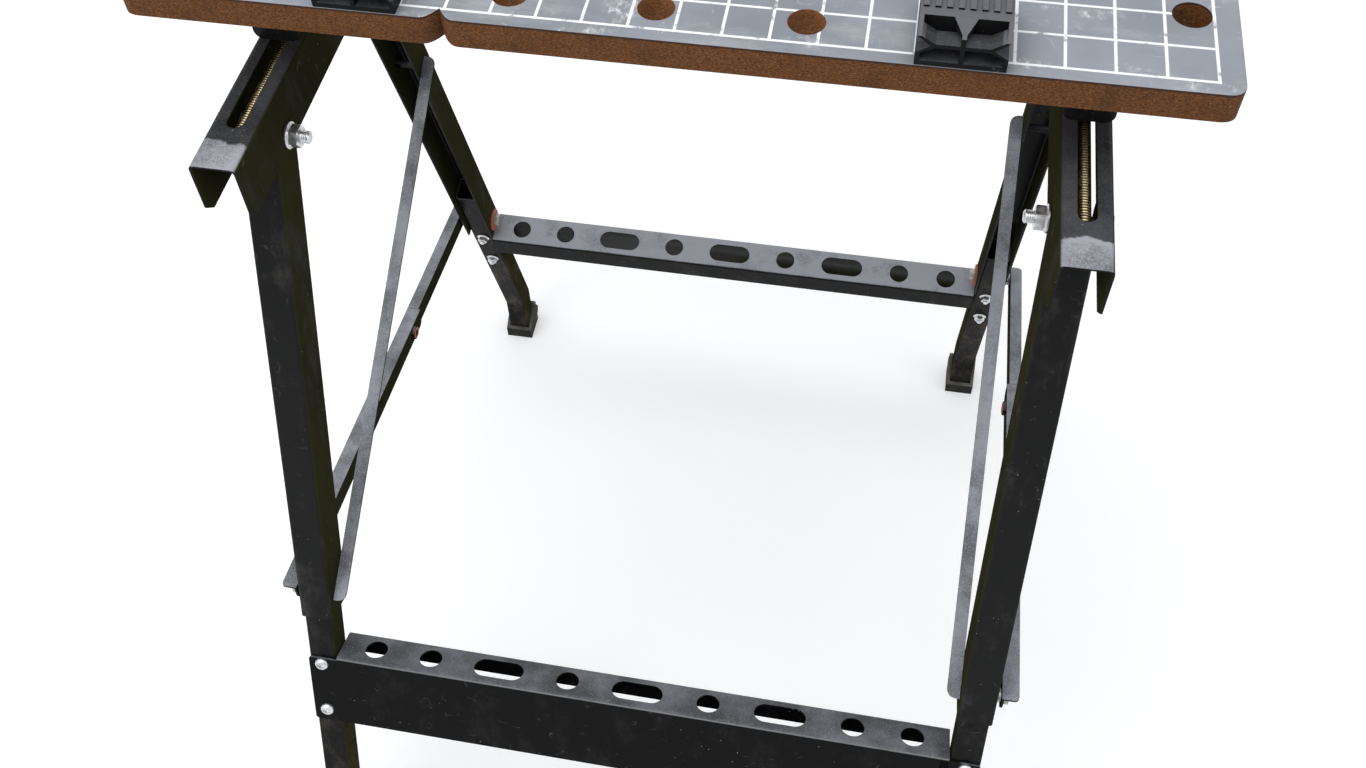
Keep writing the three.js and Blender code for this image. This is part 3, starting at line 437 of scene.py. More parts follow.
class NodeKit:
    """Adds nodes to one shader tree by short calls."""

    # Sockets of a mix node that carry its two colours and their blend
    COLOUR_A, COLOUR_B, COLOUR_OUT = 6, 7, 2

    def __init__(self, tree: bpy.types.NodeTree) -> None:
        """Keeps the tree that the nodes go into."""
        self.tree = tree

    def add(self, kind: str, **settings: object) -> bpy.types.Node:
        """Adds a node of a kind and sets its properties.

        Args:
            kind: Blender's name of the node's type.
            **settings: Properties of the node by name.

        Returns:
            The node.
        """
        node = self.tree.nodes.new(kind)
        for name, value in settings.items():
            setattr(node, name, value)
        return node

    def feed(self, socket: bpy.types.NodeSocket, value: Feed) -> None:
        """Links a socket to another, or sets its value.

        Args:
            socket: Socket that takes the value.
            value: Another socket, a number or a colour.
        """
        if isinstance(value, bpy.types.NodeSocket):
            self.tree.links.new(value, socket)
        elif isinstance(value, tuple) and len(value) == 3 and socket.type == "RGBA":
            socket.default_value = (*value, 1.0)
        else:
            socket.default_value = value

    def math(self, operation: str, a: Feed, b: Feed = 0.0,
             clamp: bool = False) -> bpy.types.NodeSocket:
        """Arithmetic on two values.

        Args:
            operation: Blender's name of the operation.
            a: First value.
            b: Second value, where the operation takes two.
            clamp: Whether the result is kept between 0 and 1.

        Returns:
            The result.
        """
        node = self.add("ShaderNodeMath", operation=operation, use_clamp=clamp)
        self.feed(node.inputs[0], a)
        self.feed(node.inputs[1], b)
        return node.outputs[0]

    def spread(self, value: Feed, low: float, high: float, to_low: float = 0.0,
               to_high: float = 1.0) -> bpy.types.NodeSocket:
        """Maps a value smoothly from one range to another, kept inside it.

        Args:
            value: Value to map.
            low: Where the first range starts.
            high: Where it ends.
            to_low: Where the second range starts.
            to_high: Where it ends.

        Returns:
            The mapped value.
        """
        node = self.add("ShaderNodeMapRange", interpolation_type="SMOOTHSTEP")
        limits = (("From Min", low), ("From Max", high), ("To Min", to_low), ("To Max", to_high))
        for name, number in limits:
            node.inputs[name].default_value = number
        self.feed(node.inputs["Value"], value)
        return node.outputs["Result"]

    def mix(self, factor: Feed, a: Feed, b: Feed) -> bpy.types.NodeSocket:
        """Blends two colours.

        Args:
            factor: Share of the second colour.
            a: First colour.
            b: Second colour.

        Returns:
            The blend.
        """
        node = self.add("ShaderNodeMix", data_type="RGBA")
        self.feed(node.inputs["Factor"], factor)
        self.feed(node.inputs[self.COLOUR_A], a)
        self.feed(node.inputs[self.COLOUR_B], b)
        return node.outputs[self.COLOUR_OUT]

    def noise(self, vector: Feed, scale: Feed, detail: float = 3.0,
              rough: float = 0.55) -> bpy.types.NodeSocket:
        """Cloudy noise between 0 and 1.

        Args:
            vector: Place that the noise is read at.
            scale: How fine it is.
            detail: Layers of finer noise.
            rough: Strength of the finer layers.

        Returns:
            The noise.
        """
        node = self.add("ShaderNodeTexNoise")
        self.feed(node.inputs["Vector"], vector)
        self.feed(node.inputs["Scale"], scale)
        node.inputs["Detail"].default_value = detail
        node.inputs["Roughness"].default_value = rough
        return node.outputs["Fac"]

    def patches(self, scale: Feed, limits: Point, detail: float = 3.0, rough: float = 0.55,
                stretch: Triple = (1.0, 1.0, 1.0)) -> bpy.types.NodeSocket:
        """Mask of cloudy patches on the piece.

        Args:
            scale: How fine the noise is.
            limits: Noise at which the mask is 0, and at which it is 1.
            detail: Layers of finer noise.
            rough: Strength of the finer layers.
            stretch: Stretch of the place along each axis.

        Returns:
            The mask.
        """
        return self.spread(self.noise(self.place(stretch), scale, detail, rough), *limits)

    def place(self, scale: Triple = (1.0, 1.0, 1.0),
              turn: Triple = (0.0, 0.0, 0.0)) -> bpy.types.NodeSocket:
        """Place on the piece in metres, stretched and turned.

        Args:
            scale: Stretch along each axis.
            turn: Turn about each axis in radians.

        Returns:
            The place.
        """
        where = self.add("ShaderNodeTexCoord")
        node = self.add("ShaderNodeMapping")
        node.inputs["Scale"].default_value = scale
        node.inputs["Rotation"].default_value = turn
        self.tree.links.new(where.outputs["Object"], node.inputs["Vector"])
        return node.outputs["Vector"]

    def spot(self, axis: str) -> bpy.types.NodeSocket:
        """Where the surface is along an axis of the piece, in metres.

        Args:
            axis: X, Y or Z.

        Returns:
            The place along the axis.
        """
        split = self.add("ShaderNodeSeparateXYZ")
        self.feed(split.inputs["Vector"], self.place())
        return split.outputs[axis]

    def facing(self, axis: str) -> bpy.types.NodeSocket:
        """How far the surface faces along an axis of the piece, from -1 to 1.

        Args:
            axis: X, Y or Z.

        Returns:
            That part of the surface's normal.
        """
        where = self.add("ShaderNodeTexCoord")
        split = self.add("ShaderNodeSeparateXYZ")
        self.tree.links.new(where.outputs["Normal"], split.inputs["Vector"])
        return split.outputs[axis]


def shared_group(name: str, inputs: Sequence[tuple[str, float]], outputs: Sequence[str],
                 fill: Callable[[NodeKit, dict, dict], None]) -> bpy.types.NodeTree:
    """Builds a shader node group once and finds it again later.

    Args:
        name: Name of the group.
        inputs: (name, default) of each number that goes in.
        outputs: Name of each number that comes out.

    Returns:
        The group.
    """
    group = bpy.data.node_groups.get(name)
    if group:
        return group
    group = bpy.data.node_groups.new(name, "ShaderNodeTree")
    for label, value in inputs:
        socket = group.interface.new_socket(label, in_out="INPUT", socket_type="NodeSocketFloat")
        socket.default_value = value
    for label in outputs:
        group.interface.new_socket(label, in_out="OUTPUT", socket_type="NodeSocketFloat")
    kit = NodeKit(group)
    entry = kit.add("NodeGroupInput")
    result = kit.add("NodeGroupOutput")
    fill(kit, {label: entry.outputs[label] for label, _ in inputs},
         {label: result.inputs[label] for label in outputs})
    return group


def settled_dust() -> bpy.types.NodeTree:
    """Group: pale dust that lies on faces turned up, in patches.

    Returns:
        The group.
    """

    def fill(kit: NodeKit, given: dict, out: dict) -> None:
        """Makes the inside of the group.

        Args:
            kit: Kit of the group's tree.
            given: Input sockets by name.
            out: Output sockets by name.
        """
        lying = kit.spread(kit.facing("Z"), 0.45, 0.95)
        patches = kit.patches(given["Patch Scale"], (0.32, 0.72), detail=5.0, rough=0.62)
        grains = kit.patches(given["Grain Scale"], (0.42, 0.75), detail=2.0, rough=0.7)
        film = kit.math("ADD", kit.math("MULTIPLY", patches, 0.6), 0.3)
        both = kit.math("ADD", film, kit.math("MULTIPLY", grains, 0.35))
        amount = kit.math("MULTIPLY", lying, given["Amount"])
        kit.feed(out["Mask"], kit.math("MULTIPLY", both, amount, True))

    return shared_group("settled_dust", (("Amount", 0.5), ("Patch Scale", 22.0), ("Grain Scale", 900.0)),
                        ("Mask",), fill)


def paint_wear() -> bpy.types.NodeTree:
    """Group: scratches, small chips and dried smears on a painted or moulded skin.

    Returns:
        The group.
    """

    def fill(kit: NodeKit, given: dict, out: dict) -> None:
        """Makes the inside of the group.

        Args:
            kit: Kit of the group's tree.
            given: Input sockets by name.
            out: Output sockets by name.
        """
        lines = kit.noise(kit.place((900.0, 20.0, 30.0), (0.3, 0.5, 0.9)), 1.0, 2.0, 0.5)
        ridge = kit.math("SUBTRACT", kit.noise(kit.place(), 58.0, 2.5, 0.5), 0.5)
        wandering = kit.spread(kit.math("ABSOLUTE", ridge), 0.018, 0.006)
        thin = kit.math("MAXIMUM", kit.spread(lines, 0.69, 0.74), wandering)
        breaks = kit.patches(74.0, (0.56, 0.70), detail=4.0)
        broken = kit.math("MULTIPLY", thin, breaks)
        kit.feed(out["Scratches"], kit.math("MULTIPLY", broken, given["Scratches"], True))
        cells = kit.add("ShaderNodeTexVoronoi")
        kit.feed(cells.inputs["Vector"], kit.place())
        kit.feed(cells.inputs["Scale"], given["Chip Scale"])
        spots = kit.spread(cells.outputs["Distance"], 0.1, 0.03)
        rare = kit.patches(31.0, (0.56, 0.66))
        chipped = kit.math("MULTIPLY", spots, rare)
        kit.feed(out["Chips"], kit.math("MULTIPLY", chipped, given["Chips"], True))
        smear = kit.patches(34.0, (0.5, 0.74), detail=6.0, rough=0.68, stretch=(1.0, 1.0, 0.45))
        kit.feed(out["Smears"], kit.math("MULTIPLY", smear, given["Smears"], True))

    return shared_group(
        "paint_wear", (("Scratches", 0.6), ("Chips", 1.0), ("Chip Scale", 220.0), ("Smears", 0.4)),
        ("Scratches", "Chips", "Smears"), fill)


def ground_splash() -> bpy.types.NodeTree:
    """Group: dried dirt that gets thicker towards the ground.

    Returns:
        The group.
    """

    def fill(kit: NodeKit, given: dict, out: dict) -> None:
        """Makes the inside of the group.

        Args:
            kit: Kit of the group's tree.
            given: Input sockets by name.
            out: Output sockets by name.
        """
        low = kit.spread(kit.spot("Z"), 0.34, 0.03)
        blots = kit.patches(70.0, (0.44, 0.7), detail=6.0, rough=0.7, stretch=(1.0, 1.0, 0.4))
        splashed = kit.math("MULTIPLY", low, blots)
        kit.feed(out["Mask"], kit.math("MULTIPLY", splashed, given["Amount"], True))

    return shared_group("ground_splash", (("Amount", 0.5),), ("Mask",), fill)


def fine_grain() -> bpy.types.NodeTree:
    """Group: fine uneven height and tone of a rolled, moulded or pressed skin.

    Returns:
        The group.
    """

    def fill(kit: NodeKit, given: dict, out: dict) -> None:
        """Makes the inside of the group.

        Args:
            kit: Kit of the group's tree.
            given: Input sockets by name.
            out: Output sockets by name.
        """
        fine = kit.noise(kit.place(), given["Scale"], 4.0, 0.6)
        broad = kit.noise(kit.place(), 14.0, 3.0, 0.55)
        both = kit.math("ADD", kit.math("MULTIPLY", fine, 0.6), kit.math("MULTIPLY", broad, 0.4))
        kit.feed(out["Height"], both)
        kit.feed(out["Tone"], kit.spread(broad, 0.3, 0.7))

    return shared_group("fine_grain", (("Scale", 420.0),), ("Height", "Tone"), fill)


def blank_material(name: str) -> tuple[bpy.types.Material, NodeKit, bpy.types.Node]:
    """Starts a material with one shader.

    Args:
        name: Name of the material.

    Returns:
        The material, a kit for its tree and its shader node.
    """
    material = bpy.data.materials.new(name)
    material.use_nodes = True
    return material, NodeKit(material.node_tree), material.node_tree.nodes["Principled BSDF"]


def use_group(kit: NodeKit, group: bpy.types.NodeTree, **values: Feed) -> dict[str, bpy.types.NodeSocket]:
    """Places a shared group in a material with its own values.

    Args:
        kit: Kit of the material's tree.
        group: Shared group.
        **values: Numbers or sockets for its inputs by name, with _ for a space.

    Returns:
        The group's results by name.
    """
    node = kit.add("ShaderNodeGroup", node_tree=group)
    for name, value in values.items():
        kit.feed(node.inputs[name.replace("_", " ")], value)
    return {socket.name: socket for socket in node.outputs}


def bump(kit: NodeKit, shader: bpy.types.Node, height: bpy.types.NodeSocket, strength: float,
         depth: float) -> None:
    """Gives a shader a fine relief of a depth in metres.

    Args:
        kit: Kit of the material's tree.
        shader: Shader that takes the relief.
        height: Socket of the height.
        strength: Share of the relief that shows.
        depth: Depth in metres.
    """
    node = kit.add("ShaderNodeBump")
    node.inputs["Strength"].default_value = strength
    node.inputs["Distance"].default_value = depth
    kit.feed(node.inputs["Height"], height)
    kit.feed(shader.inputs["Normal"], node.outputs["Normal"])


@dataclass(frozen=True)
class Enamel:
    """Stove enamel on steel, dusty, scratched and chipped, with painted light on its sides and a painted
    highlight on its bends.
    """

    name: str
    paint: Colour = (0.0052, 0.0053, 0.0056)
    # lighter olive of the faces that turn along X: painted light on the sides
    film: Colour = (0.0310, 0.0305, 0.0135)
    smear: Colour = (0.044, 0.043, 0.040)
    mud: Colour = (0.105, 0.082, 0.058)
    dust: Colour = (0.35, 0.365, 0.40)
    # pale line on bends: painted highlight and rubbed paint
    rubbed: Colour = (0.25, 0.255, 0.265)
    scratch: Colour = (0.20, 0.20, 0.19)
    chip: Colour = (0.42, 0.41, 0.38)
    dust_amount: float = 0.48
    scratches: float = 0.16
    chips: float = 0.8
    smears: float = 0.6
    splash: float = 0.0
    front: float | None = None
    front_depth: float = 0.025
    front_fade: float = 0.002
    front_ragged: float = 0.010
    front_amount: float = 1.35
    roughness: float = 0.55
    gloss: float = 0.18
    # strength of the painted highlight and rubbing on bends
    worn: float = 0.0

    def colour(self, kit: NodeKit, side_lit: bpy.types.NodeSocket, dust: bpy.types.NodeSocket,
               wear: dict[str, bpy.types.NodeSocket]) -> bpy.types.NodeSocket:
        """Lays the paint, the painted light on its sides, dirt, dust, the painted highlight on bends and
        wear over each other.

        Args:
            kit: Kit of the material's tree.
            side_lit: Where painted light turns the faces along X a lighter olive.
            dust: Where dust lies.
            wear: Results of the wear group by name.

        Returns:
            The colour.
        """
        # painted light: the faces that turn along X take the lighter olive
        colour = kit.mix(side_lit, self.paint, self.film)
        colour = kit.mix(wear["Smears"], colour, self.smear)
        if self.splash:
            dirt = use_group(kit, ground_splash(), Amount=self.splash)
            colour = kit.mix(dirt["Mask"], colour, self.mud)
        colour = kit.mix(dust, colour, self.dust)
        # pale line on bends that half face up: painted highlight and rubbed paint
        if self.worn:
            colour = kit.mix(self.worn_bend(kit), colour, self.rubbed)
        colour = kit.mix(wear["Scratches"], colour, self.scratch)
        return kit.mix(wear["Chips"], colour, self.chip)

    def worn_bend(self, kit: NodeKit) -> bpy.types.NodeSocket:
        """Mask of a bend between a lying and a standing face: a painted highlight where the bend half faces
        up, and rubbed paint, broken along its length.

        Args:
            kit: Kit of the material's tree.

        Returns:
            The mask.
        """
        up = kit.facing("Z")
        bend = kit.math("MULTIPLY", kit.spread(up, 0.46, 0.62), kit.spread(up, 0.90, 0.76))
        rubbed = kit.spread(kit.noise(kit.place(), 40.0, 4.0, 0.6), 0.25, 0.55, 0.5, 1.0)
        return kit.math("MULTIPLY", kit.math("MULTIPLY", bend, rubbed), self.worn)

    def front_dust(self, kit: NodeKit) -> bpy.types.NodeSocket:
        """Amount of dust that is thick over a front end and thin behind it.

        Args:
            kit: Kit of the material's tree.

        Returns:
            The amount.
        """
        ragged = kit.math("MULTIPLY", kit.noise(kit.place(), 90.0, 4.0), self.front_ragged)
        along = kit.math("ADD", kit.spot("Y"), ragged)
        edge = self.front + self.front_depth
        return kit.spread(along, edge + self.front_fade, edge, self.dust_amount, self.front_amount)

    def build(self) -> bpy.types.Material:
        """Makes the material.

        Returns:
            The material.
        """
        material, kit, shader = blank_material(self.name)
        amount = self.dust_amount if self.front is None else self.front_dust(kit)
        dust = use_group(kit, settled_dust(), Amount=amount, Patch_Scale=24.0)["Mask"]
        wear = use_group(kit, paint_wear(), Scratches=self.scratches, Chips=self.chips, Smears=self.smears)
        grain = use_group(kit, fine_grain(), Scale=520.0)
        # painted light on the sides: the faces that turn along X take the olive unevenly and also lose the
        # coat
        sideways = kit.spread(kit.math("ABSOLUTE", kit.facing("X")), 0.45, 0.85)
        uneven = kit.math("ADD", kit.math("MULTIPLY", grain["Tone"], 0.4), 0.6)
        side_lit = kit.math("MULTIPLY", sideways, uneven)
        kit.feed(shader.inputs["Base Color"], self.colour(kit, side_lit, dust, wear))
        shader.inputs["Specular IOR Level"].default_value = 0.0
        clean = kit.math("SUBTRACT", 1.0, kit.math("MAXIMUM", sideways, dust), True)
        kit.feed(shader.inputs["Coat Weight"], kit.math("MULTIPLY", clean, self.gloss))
        shader.inputs["Coat Roughness"].default_value = 0.2
        rough = kit.math("ADD", kit.math("MULTIPLY", dust, 0.25), self.roughness)
        rough = kit.math("ADD", rough, kit.math("MULTIPLY", grain["Tone"], 0.10), True)
        kit.feed(shader.inputs["Roughness"], rough)
        relief = kit.math("SUBTRACT", grain["Height"], kit.math("MULTIPLY", wear["Chips"], 0.8))
        bump(kit, shader, relief, strength=0.22, depth=0.0004)
        return material


@dataclass(frozen=True)
class Plating:
    """Bright or yellow zinc on steel, dulled in places."""

    name: str
    bright: Colour = (0.66, 0.67, 0.68)
    dull: Colour = (0.36, 0.36, 0.35)
    roughness: float = 0.3
    dulling: float = 0.5
    thread_axis: Point | None = None
    thread_roots: Point = (3.35, 3.85)
    root_shade: float = 0.16

    def crests(self, kit: NodeKit) -> bpy.types.NodeSocket:
        """Mask of a thread's crests round an axis along Y, dark in the roots.

        Args:
            kit: Kit of the material's tree.

        Returns:
            The mask.
        """
        sides = []
        for axis, middle in zip(("X", "Z"), self.thread_axis):
            away = kit.math("SUBTRACT", kit.spot(axis), middle * MM)
            sides.append(kit.math("MULTIPLY", away, away))
        radius = kit.math("SQRT", kit.math("ADD", sides[0], sides[1]))
        return kit.spread(radius, self.thread_roots[0] * MM, self.thread_roots[1] * MM)

    def build(self) -> bpy.types.Material:
        """Makes the material.

        Returns:
            The material.
        """
        material, kit, shader = blank_material(self.name)
        grain = use_group(kit, fine_grain(), Scale=900.0)
        spots = kit.patches(260.0, (0.45, 0.7), detail=4.0, rough=0.65)
        dull = kit.math("MULTIPLY", spots, self.dulling, True)
        colour = kit.mix(dull, self.bright, self.dull)
        if self.thread_axis:
            roots = tuple(self.root_shade * c for c in self.dull)
            colour = kit.mix(self.crests(kit), roots, colour)
        kit.feed(shader.inputs["Base Color"], colour)
        kit.feed(shader.inputs["Metallic"], kit.math("SUBTRACT", 1.0, kit.math("MULTIPLY", dull, 0.5)))
        rough = kit.math("ADD", kit.math("MULTIPLY", dull, 0.3), self.roughness, True)
        kit.feed(shader.inputs["Roughness"], rough)
        bump(kit, shader, grain["Height"], strength=0.15, depth=0.0002)
        return material


@dataclass(frozen=True)
class Moulding:
    """Moulded plastic, rubber or fibre with dust in its corners."""

    name: str
    colour: Colour = (0.016, 0.016, 0.017)
    dust: Colour = (0.17, 0.18, 0.19)
    scratch: Colour = (0.2, 0.2, 0.2)
    dust_amount: float = 0.45
    scratches: float = 0.35
    smears: float = 0.3
    roughness: float = 0.45
    specular: float = 0.35
    grain: float = 700.0
    roof: float | None = None
    roof_fade: float = 0.001
    roof_dust: float = 2.4

    def thickness(self, kit: NodeKit) -> float | bpy.types.NodeSocket:
        """Amount of dust, thick above the roof's height where there is one.

        Args:
            kit: Kit of the material's tree.

        Returns:
            The amount.
        """
        if self.roof is None:
            return self.dust_amount
        below = self.roof - self.roof_fade
        return kit.spread(kit.spot("Z"), below, self.roof, self.dust_amount, self.roof_dust)

    def build(self) -> bpy.types.Material:
        """Makes the material.

        Returns:
            The material.
        """
        material, kit, shader = blank_material(self.name)
        dust = use_group(kit, settled_dust(), Amount=self.thickness(kit), Patch_Scale=60.0)
        wear = use_group(kit, paint_wear(), Scratches=self.scratches, Smears=self.smears)
        grain = use_group(kit, fine_grain(), Scale=self.grain)
        smear = tuple(0.35 * c + 0.02 for c in self.dust)
        colour = kit.mix(wear["Smears"], self.colour, smear)
        colour = kit.mix(dust["Mask"], colour, self.dust)
        colour = kit.mix(wear["Scratches"], colour, self.scratch)
        kit.feed(shader.inputs["Base Color"], colour)
        shader.inputs["Specular IOR Level"].default_value = self.specular
        rough = kit.math("ADD", kit.math("MULTIPLY", dust["Mask"], 0.25), self.roughness, True)
        kit.feed(shader.inputs["Roughness"], rough)
        bump(kit, shader, grain["Height"], strength=0.2, depth=0.0003)
        return material


@dataclass(frozen=True)
class DogHoles:
    """The row of holes along the outer edge of a jaw, in millimetres."""

    diameter: float = 20.5
    pitch: float = 81.5
    edge: float = 26.0
    each_way: int = 2


@dataclass(frozen=True)
class GridBoard:
    """Pressed fibreboard with a printed top: a grey ground and a white grid of one-inch squares.

    The plan of the print is in millimetres, and the heights of the top and its skin are in metres.
    """

    name: str
    outer_edge: float
    top: float
    inward: int
    square: float = 25.4
    columns: int = 23
    rows: int = 4
    first_row: float = 8.7
    line: float = 1.7
    line_blur: float = 0.18
    rim_blur: float = 0.2
    ground: Colour = (0.215, 0.228, 0.258)
    ground_lift: float = 1.32
    ink: Colour = (0.86, 0.88, 0.90)
    rub: Colour = (0.52, 0.54, 0.56)
    bloom: Colour = (0.80, 0.82, 0.83)
    scratch: Colour = (0.55, 0.57, 0.59)
    chip: Colour = (0.26, 0.16, 0.085)
    fibre: tuple[Colour, Colour] = ((0.050, 0.016, 0.004), (0.225, 0.092, 0.029))
    clean_fibre: tuple[Colour, Colour] = ((0.120, 0.042, 0.013), (0.36, 0.165, 0.066))
    speck: Colour = (0.018, 0.008, 0.004)
    fleck: Colour = (0.42, 0.27, 0.15)
    grime: Colour = (0.045, 0.022, 0.012)
    skin: Colour = (0.028, 0.016, 0.014)
    skin_depth: Point = (0.0019, 0.0011)
    fibre_limits: Point = (0.34, 0.68)
    holes: DogHoles = DogHoles()
    hole_wall: float = 1.0
    hole_fade: float = 8.0

    def plan(self, kit: NodeKit) -> Sequence[bpy.types.NodeSocket]:
        """Millimetres from the middle of the board and in from its outer edge.

        Args:
            kit: Kit of the material's tree.

        Returns:
            Both lengths.
        """
        split = kit.add("ShaderNodeSeparateXYZ")
        kit.feed(split.inputs["Vector"], kit.place((1000.0, 1000.0, 1000.0)))
        deep = kit.math("SUBTRACT", split.outputs["Y"], self.outer_edge)
        return split.outputs["X"], kit.math("MULTIPLY", deep, float(self.inward))

    def grid(self, kit: NodeKit) -> bpy.types.NodeSocket:
        """Mask of the printed lines, whole before wear.

        Args:
            kit: Kit of the material's tree.

        Returns:
            The mask.
        """
        across_board, deep = self.plan(kit)
        half_x, half_y = self.square * self.columns / 2, self.square * self.rows / 2
        deep = kit.math("SUBTRACT", deep, self.first_row)
        half_line = self.line / 2
        lines = []
        for value, start in ((across_board, -half_x), (deep, 0.0)):
            cells = kit.math("DIVIDE", kit.math("SUBTRACT", value, start), self.square)
            away = kit.math("MULTIPLY", kit.math("PINGPONG", cells, 0.5), self.square)
            lines.append(kit.spread(away, half_line + self.line_blur, half_line - self.line_blur))
        rim_x, rim_y = half_x + half_line, half_y + half_line
        inside_x = kit.spread(kit.math("ABSOLUTE", across_board), rim_x + self.rim_blur, rim_x)
        centred = kit.math("ABSOLUTE", kit.math("SUBTRACT", deep, half_y))
        inside_y = kit.spread(centred, rim_y + self.rim_blur, rim_y)
        both = kit.math("MAXIMUM", lines[0], lines[1])
        return kit.math("MULTIPLY", both, kit.math("MULTIPLY", inside_x, inside_y))

    def bores(self, kit: NodeKit) -> bpy.types.NodeSocket:
        """Mask of the walls of the row of holes, which stay cleaner than the edges.

        Args:
            kit: Kit of the material's tree.

        Returns:
            The mask.
        """
        across_board, deep = self.plan(kit)
        aside = kit.math("PINGPONG", across_board, self.holes.pitch / 2)
        ahead = kit.math("SUBTRACT", deep, self.holes.edge)
        square = kit.math("ADD", kit.math("MULTIPLY", aside, aside), kit.math("MULTIPLY", ahead, ahead))
        reach = (self.holes.diameter / 2 + self.hole_wall) ** 2
        return kit.spread(square, reach + self.hole_fade, reach)

    def printed(self, kit: NodeKit, tone: bpy.types.NodeSocket, rubbed: bpy.types.NodeSocket,
                wear: dict[str, bpy.types.NodeSocket]) -> bpy.types.NodeSocket:
        """Colour of the top: the ground, its rubs and smudges, and what is left of the print.

        Args:
            kit: Kit of the material's tree.
            tone: Broad uneven tone.
            rubbed: Where the top is rubbed.
            wear: Results of the wear group by name.

        Returns:
            The colour.
        """
        worn = kit.patches(75.0, (0.66, 0.54), detail=6.0, rough=0.7)
        ground = kit.mix(tone, self.ground, tuple(c * self.ground_lift for c in self.ground))
        ground = kit.mix(kit.math("MULTIPLY", rubbed, 0.45), ground, self.rub)
        clouds = kit.patches(24.0, (0.56, 0.72), detail=3.0, rough=0.6, stretch=(1.0, 1.8, 1.0))
        fibres = kit.patches(160.0, (0.45, 0.68), detail=7.0, rough=0.75, stretch=(1.6, 1.0, 1.0))
        ground = kit.mix(kit.math("MULTIPLY", clouds, fibres), ground, self.bloom)
        ground = kit.mix(wear["Scratches"], ground, self.scratch)
        top = kit.mix(kit.math("MULTIPLY", self.grid(kit), worn), ground, self.ink)
        return kit.mix(wear["Chips"], top, self.chip)

    def fibreboard(self, kit: NodeKit, fibres: bpy.types.NodeSocket) -> bpy.types.NodeSocket:
        """Colour of the cut edges: pressed brown fibre with a dark line under the print.

        Args:
            kit: Kit of the material's tree.
            fibres: Fine uneven height of the fibre.

        Returns:
            The colour.
        """
        pale = kit.spread(fibres, *self.fibre_limits)
        board = kit.mix(pale, *self.fibre)
        board = kit.mix(kit.patches(780.0, (0.36, 0.28), detail=3.0, rough=0.6), board, self.speck)
        board = kit.mix(kit.patches(1100.0, (0.66, 0.74), detail=2.0, rough=0.6), board, self.fleck)
        grime = kit.patches(44.0, (0.46, 0.72), detail=5.0, rough=0.65)
        board = kit.mix(kit.math("MULTIPLY", grime, 0.5), board, self.grime)
        skin = kit.spread(kit.spot("Z"), *(self.top - depth for depth in self.skin_depth))
        board = kit.mix(kit.math("MULTIPLY", skin, 0.8), board, self.skin)
        return kit.mix(self.bores(kit), board, kit.mix(pale, *self.clean_fibre))

    def build(self) -> bpy.types.Material:
        """Makes the material.

        Returns:
            The material.
        """
        material, kit, shader = blank_material(self.name)
        wear = use_group(kit, paint_wear(), Scratches=0.4, Chips=0.5, Chip_Scale=130.0)
        grain = use_group(kit, fine_grain(), Scale=260.0)
        rubbed = kit.patches(13.0, (0.5, 0.78), detail=6.0, rough=0.72, stretch=(1.0, 2.2, 1.0))
        fibres = kit.noise(kit.place((1.0, 1.0, 3.0)), 620.0, 4.0, 0.75)
        top = kit.spread(kit.facing("Z"), 0.55, 0.8)
        printed = self.printed(kit, grain["Tone"], rubbed, wear)
        kit.feed(shader.inputs["Base Color"], kit.mix(top, self.fibreboard(kit, fibres), printed))
        shader.inputs["Specular IOR Level"].default_value = 0.2
        gloss = kit.math("SUBTRACT", top, kit.math("MULTIPLY", rubbed, 0.3))
        kit.feed(shader.inputs["Roughness"], kit.spread(gloss, 0.0, 1.0, 0.85, 0.42))
        rolled = kit.math("MULTIPLY", grain["Height"], 0.3)
        relief = kit.math("ADD", kit.math("MULTIPLY", fibres, 0.7), rolled)
        sides = kit.math("MULTIPLY", relief, kit.math("SUBTRACT", 1.05, top))
        bump(kit, shader, sides, strength=0.5, depth=0.0008)
        return material


@dataclass(frozen=True)
class Panel:
    """A square soft lamp, in metres and watts."""

    name: str
    spot: Triple
    aim: Triple
    size: float
    power: float
    colour: Colour

    def build(self) -> None:
        """Hangs the lamp and aims it."""
        data = bpy.data.lights.new(self.name, "AREA")
        data.size = self.size
        data.energy = self.power
        data.color = self.colour
        lamp = bpy.data.objects.new(self.name, data)
        lamp.location = self.spot
        lamp.rotation_euler = (Vector(self.aim) - Vector(self.spot)).to_track_quat("-Z", "Y").to_euler()
        bpy.context.scene.collection.objects.link(lamp)


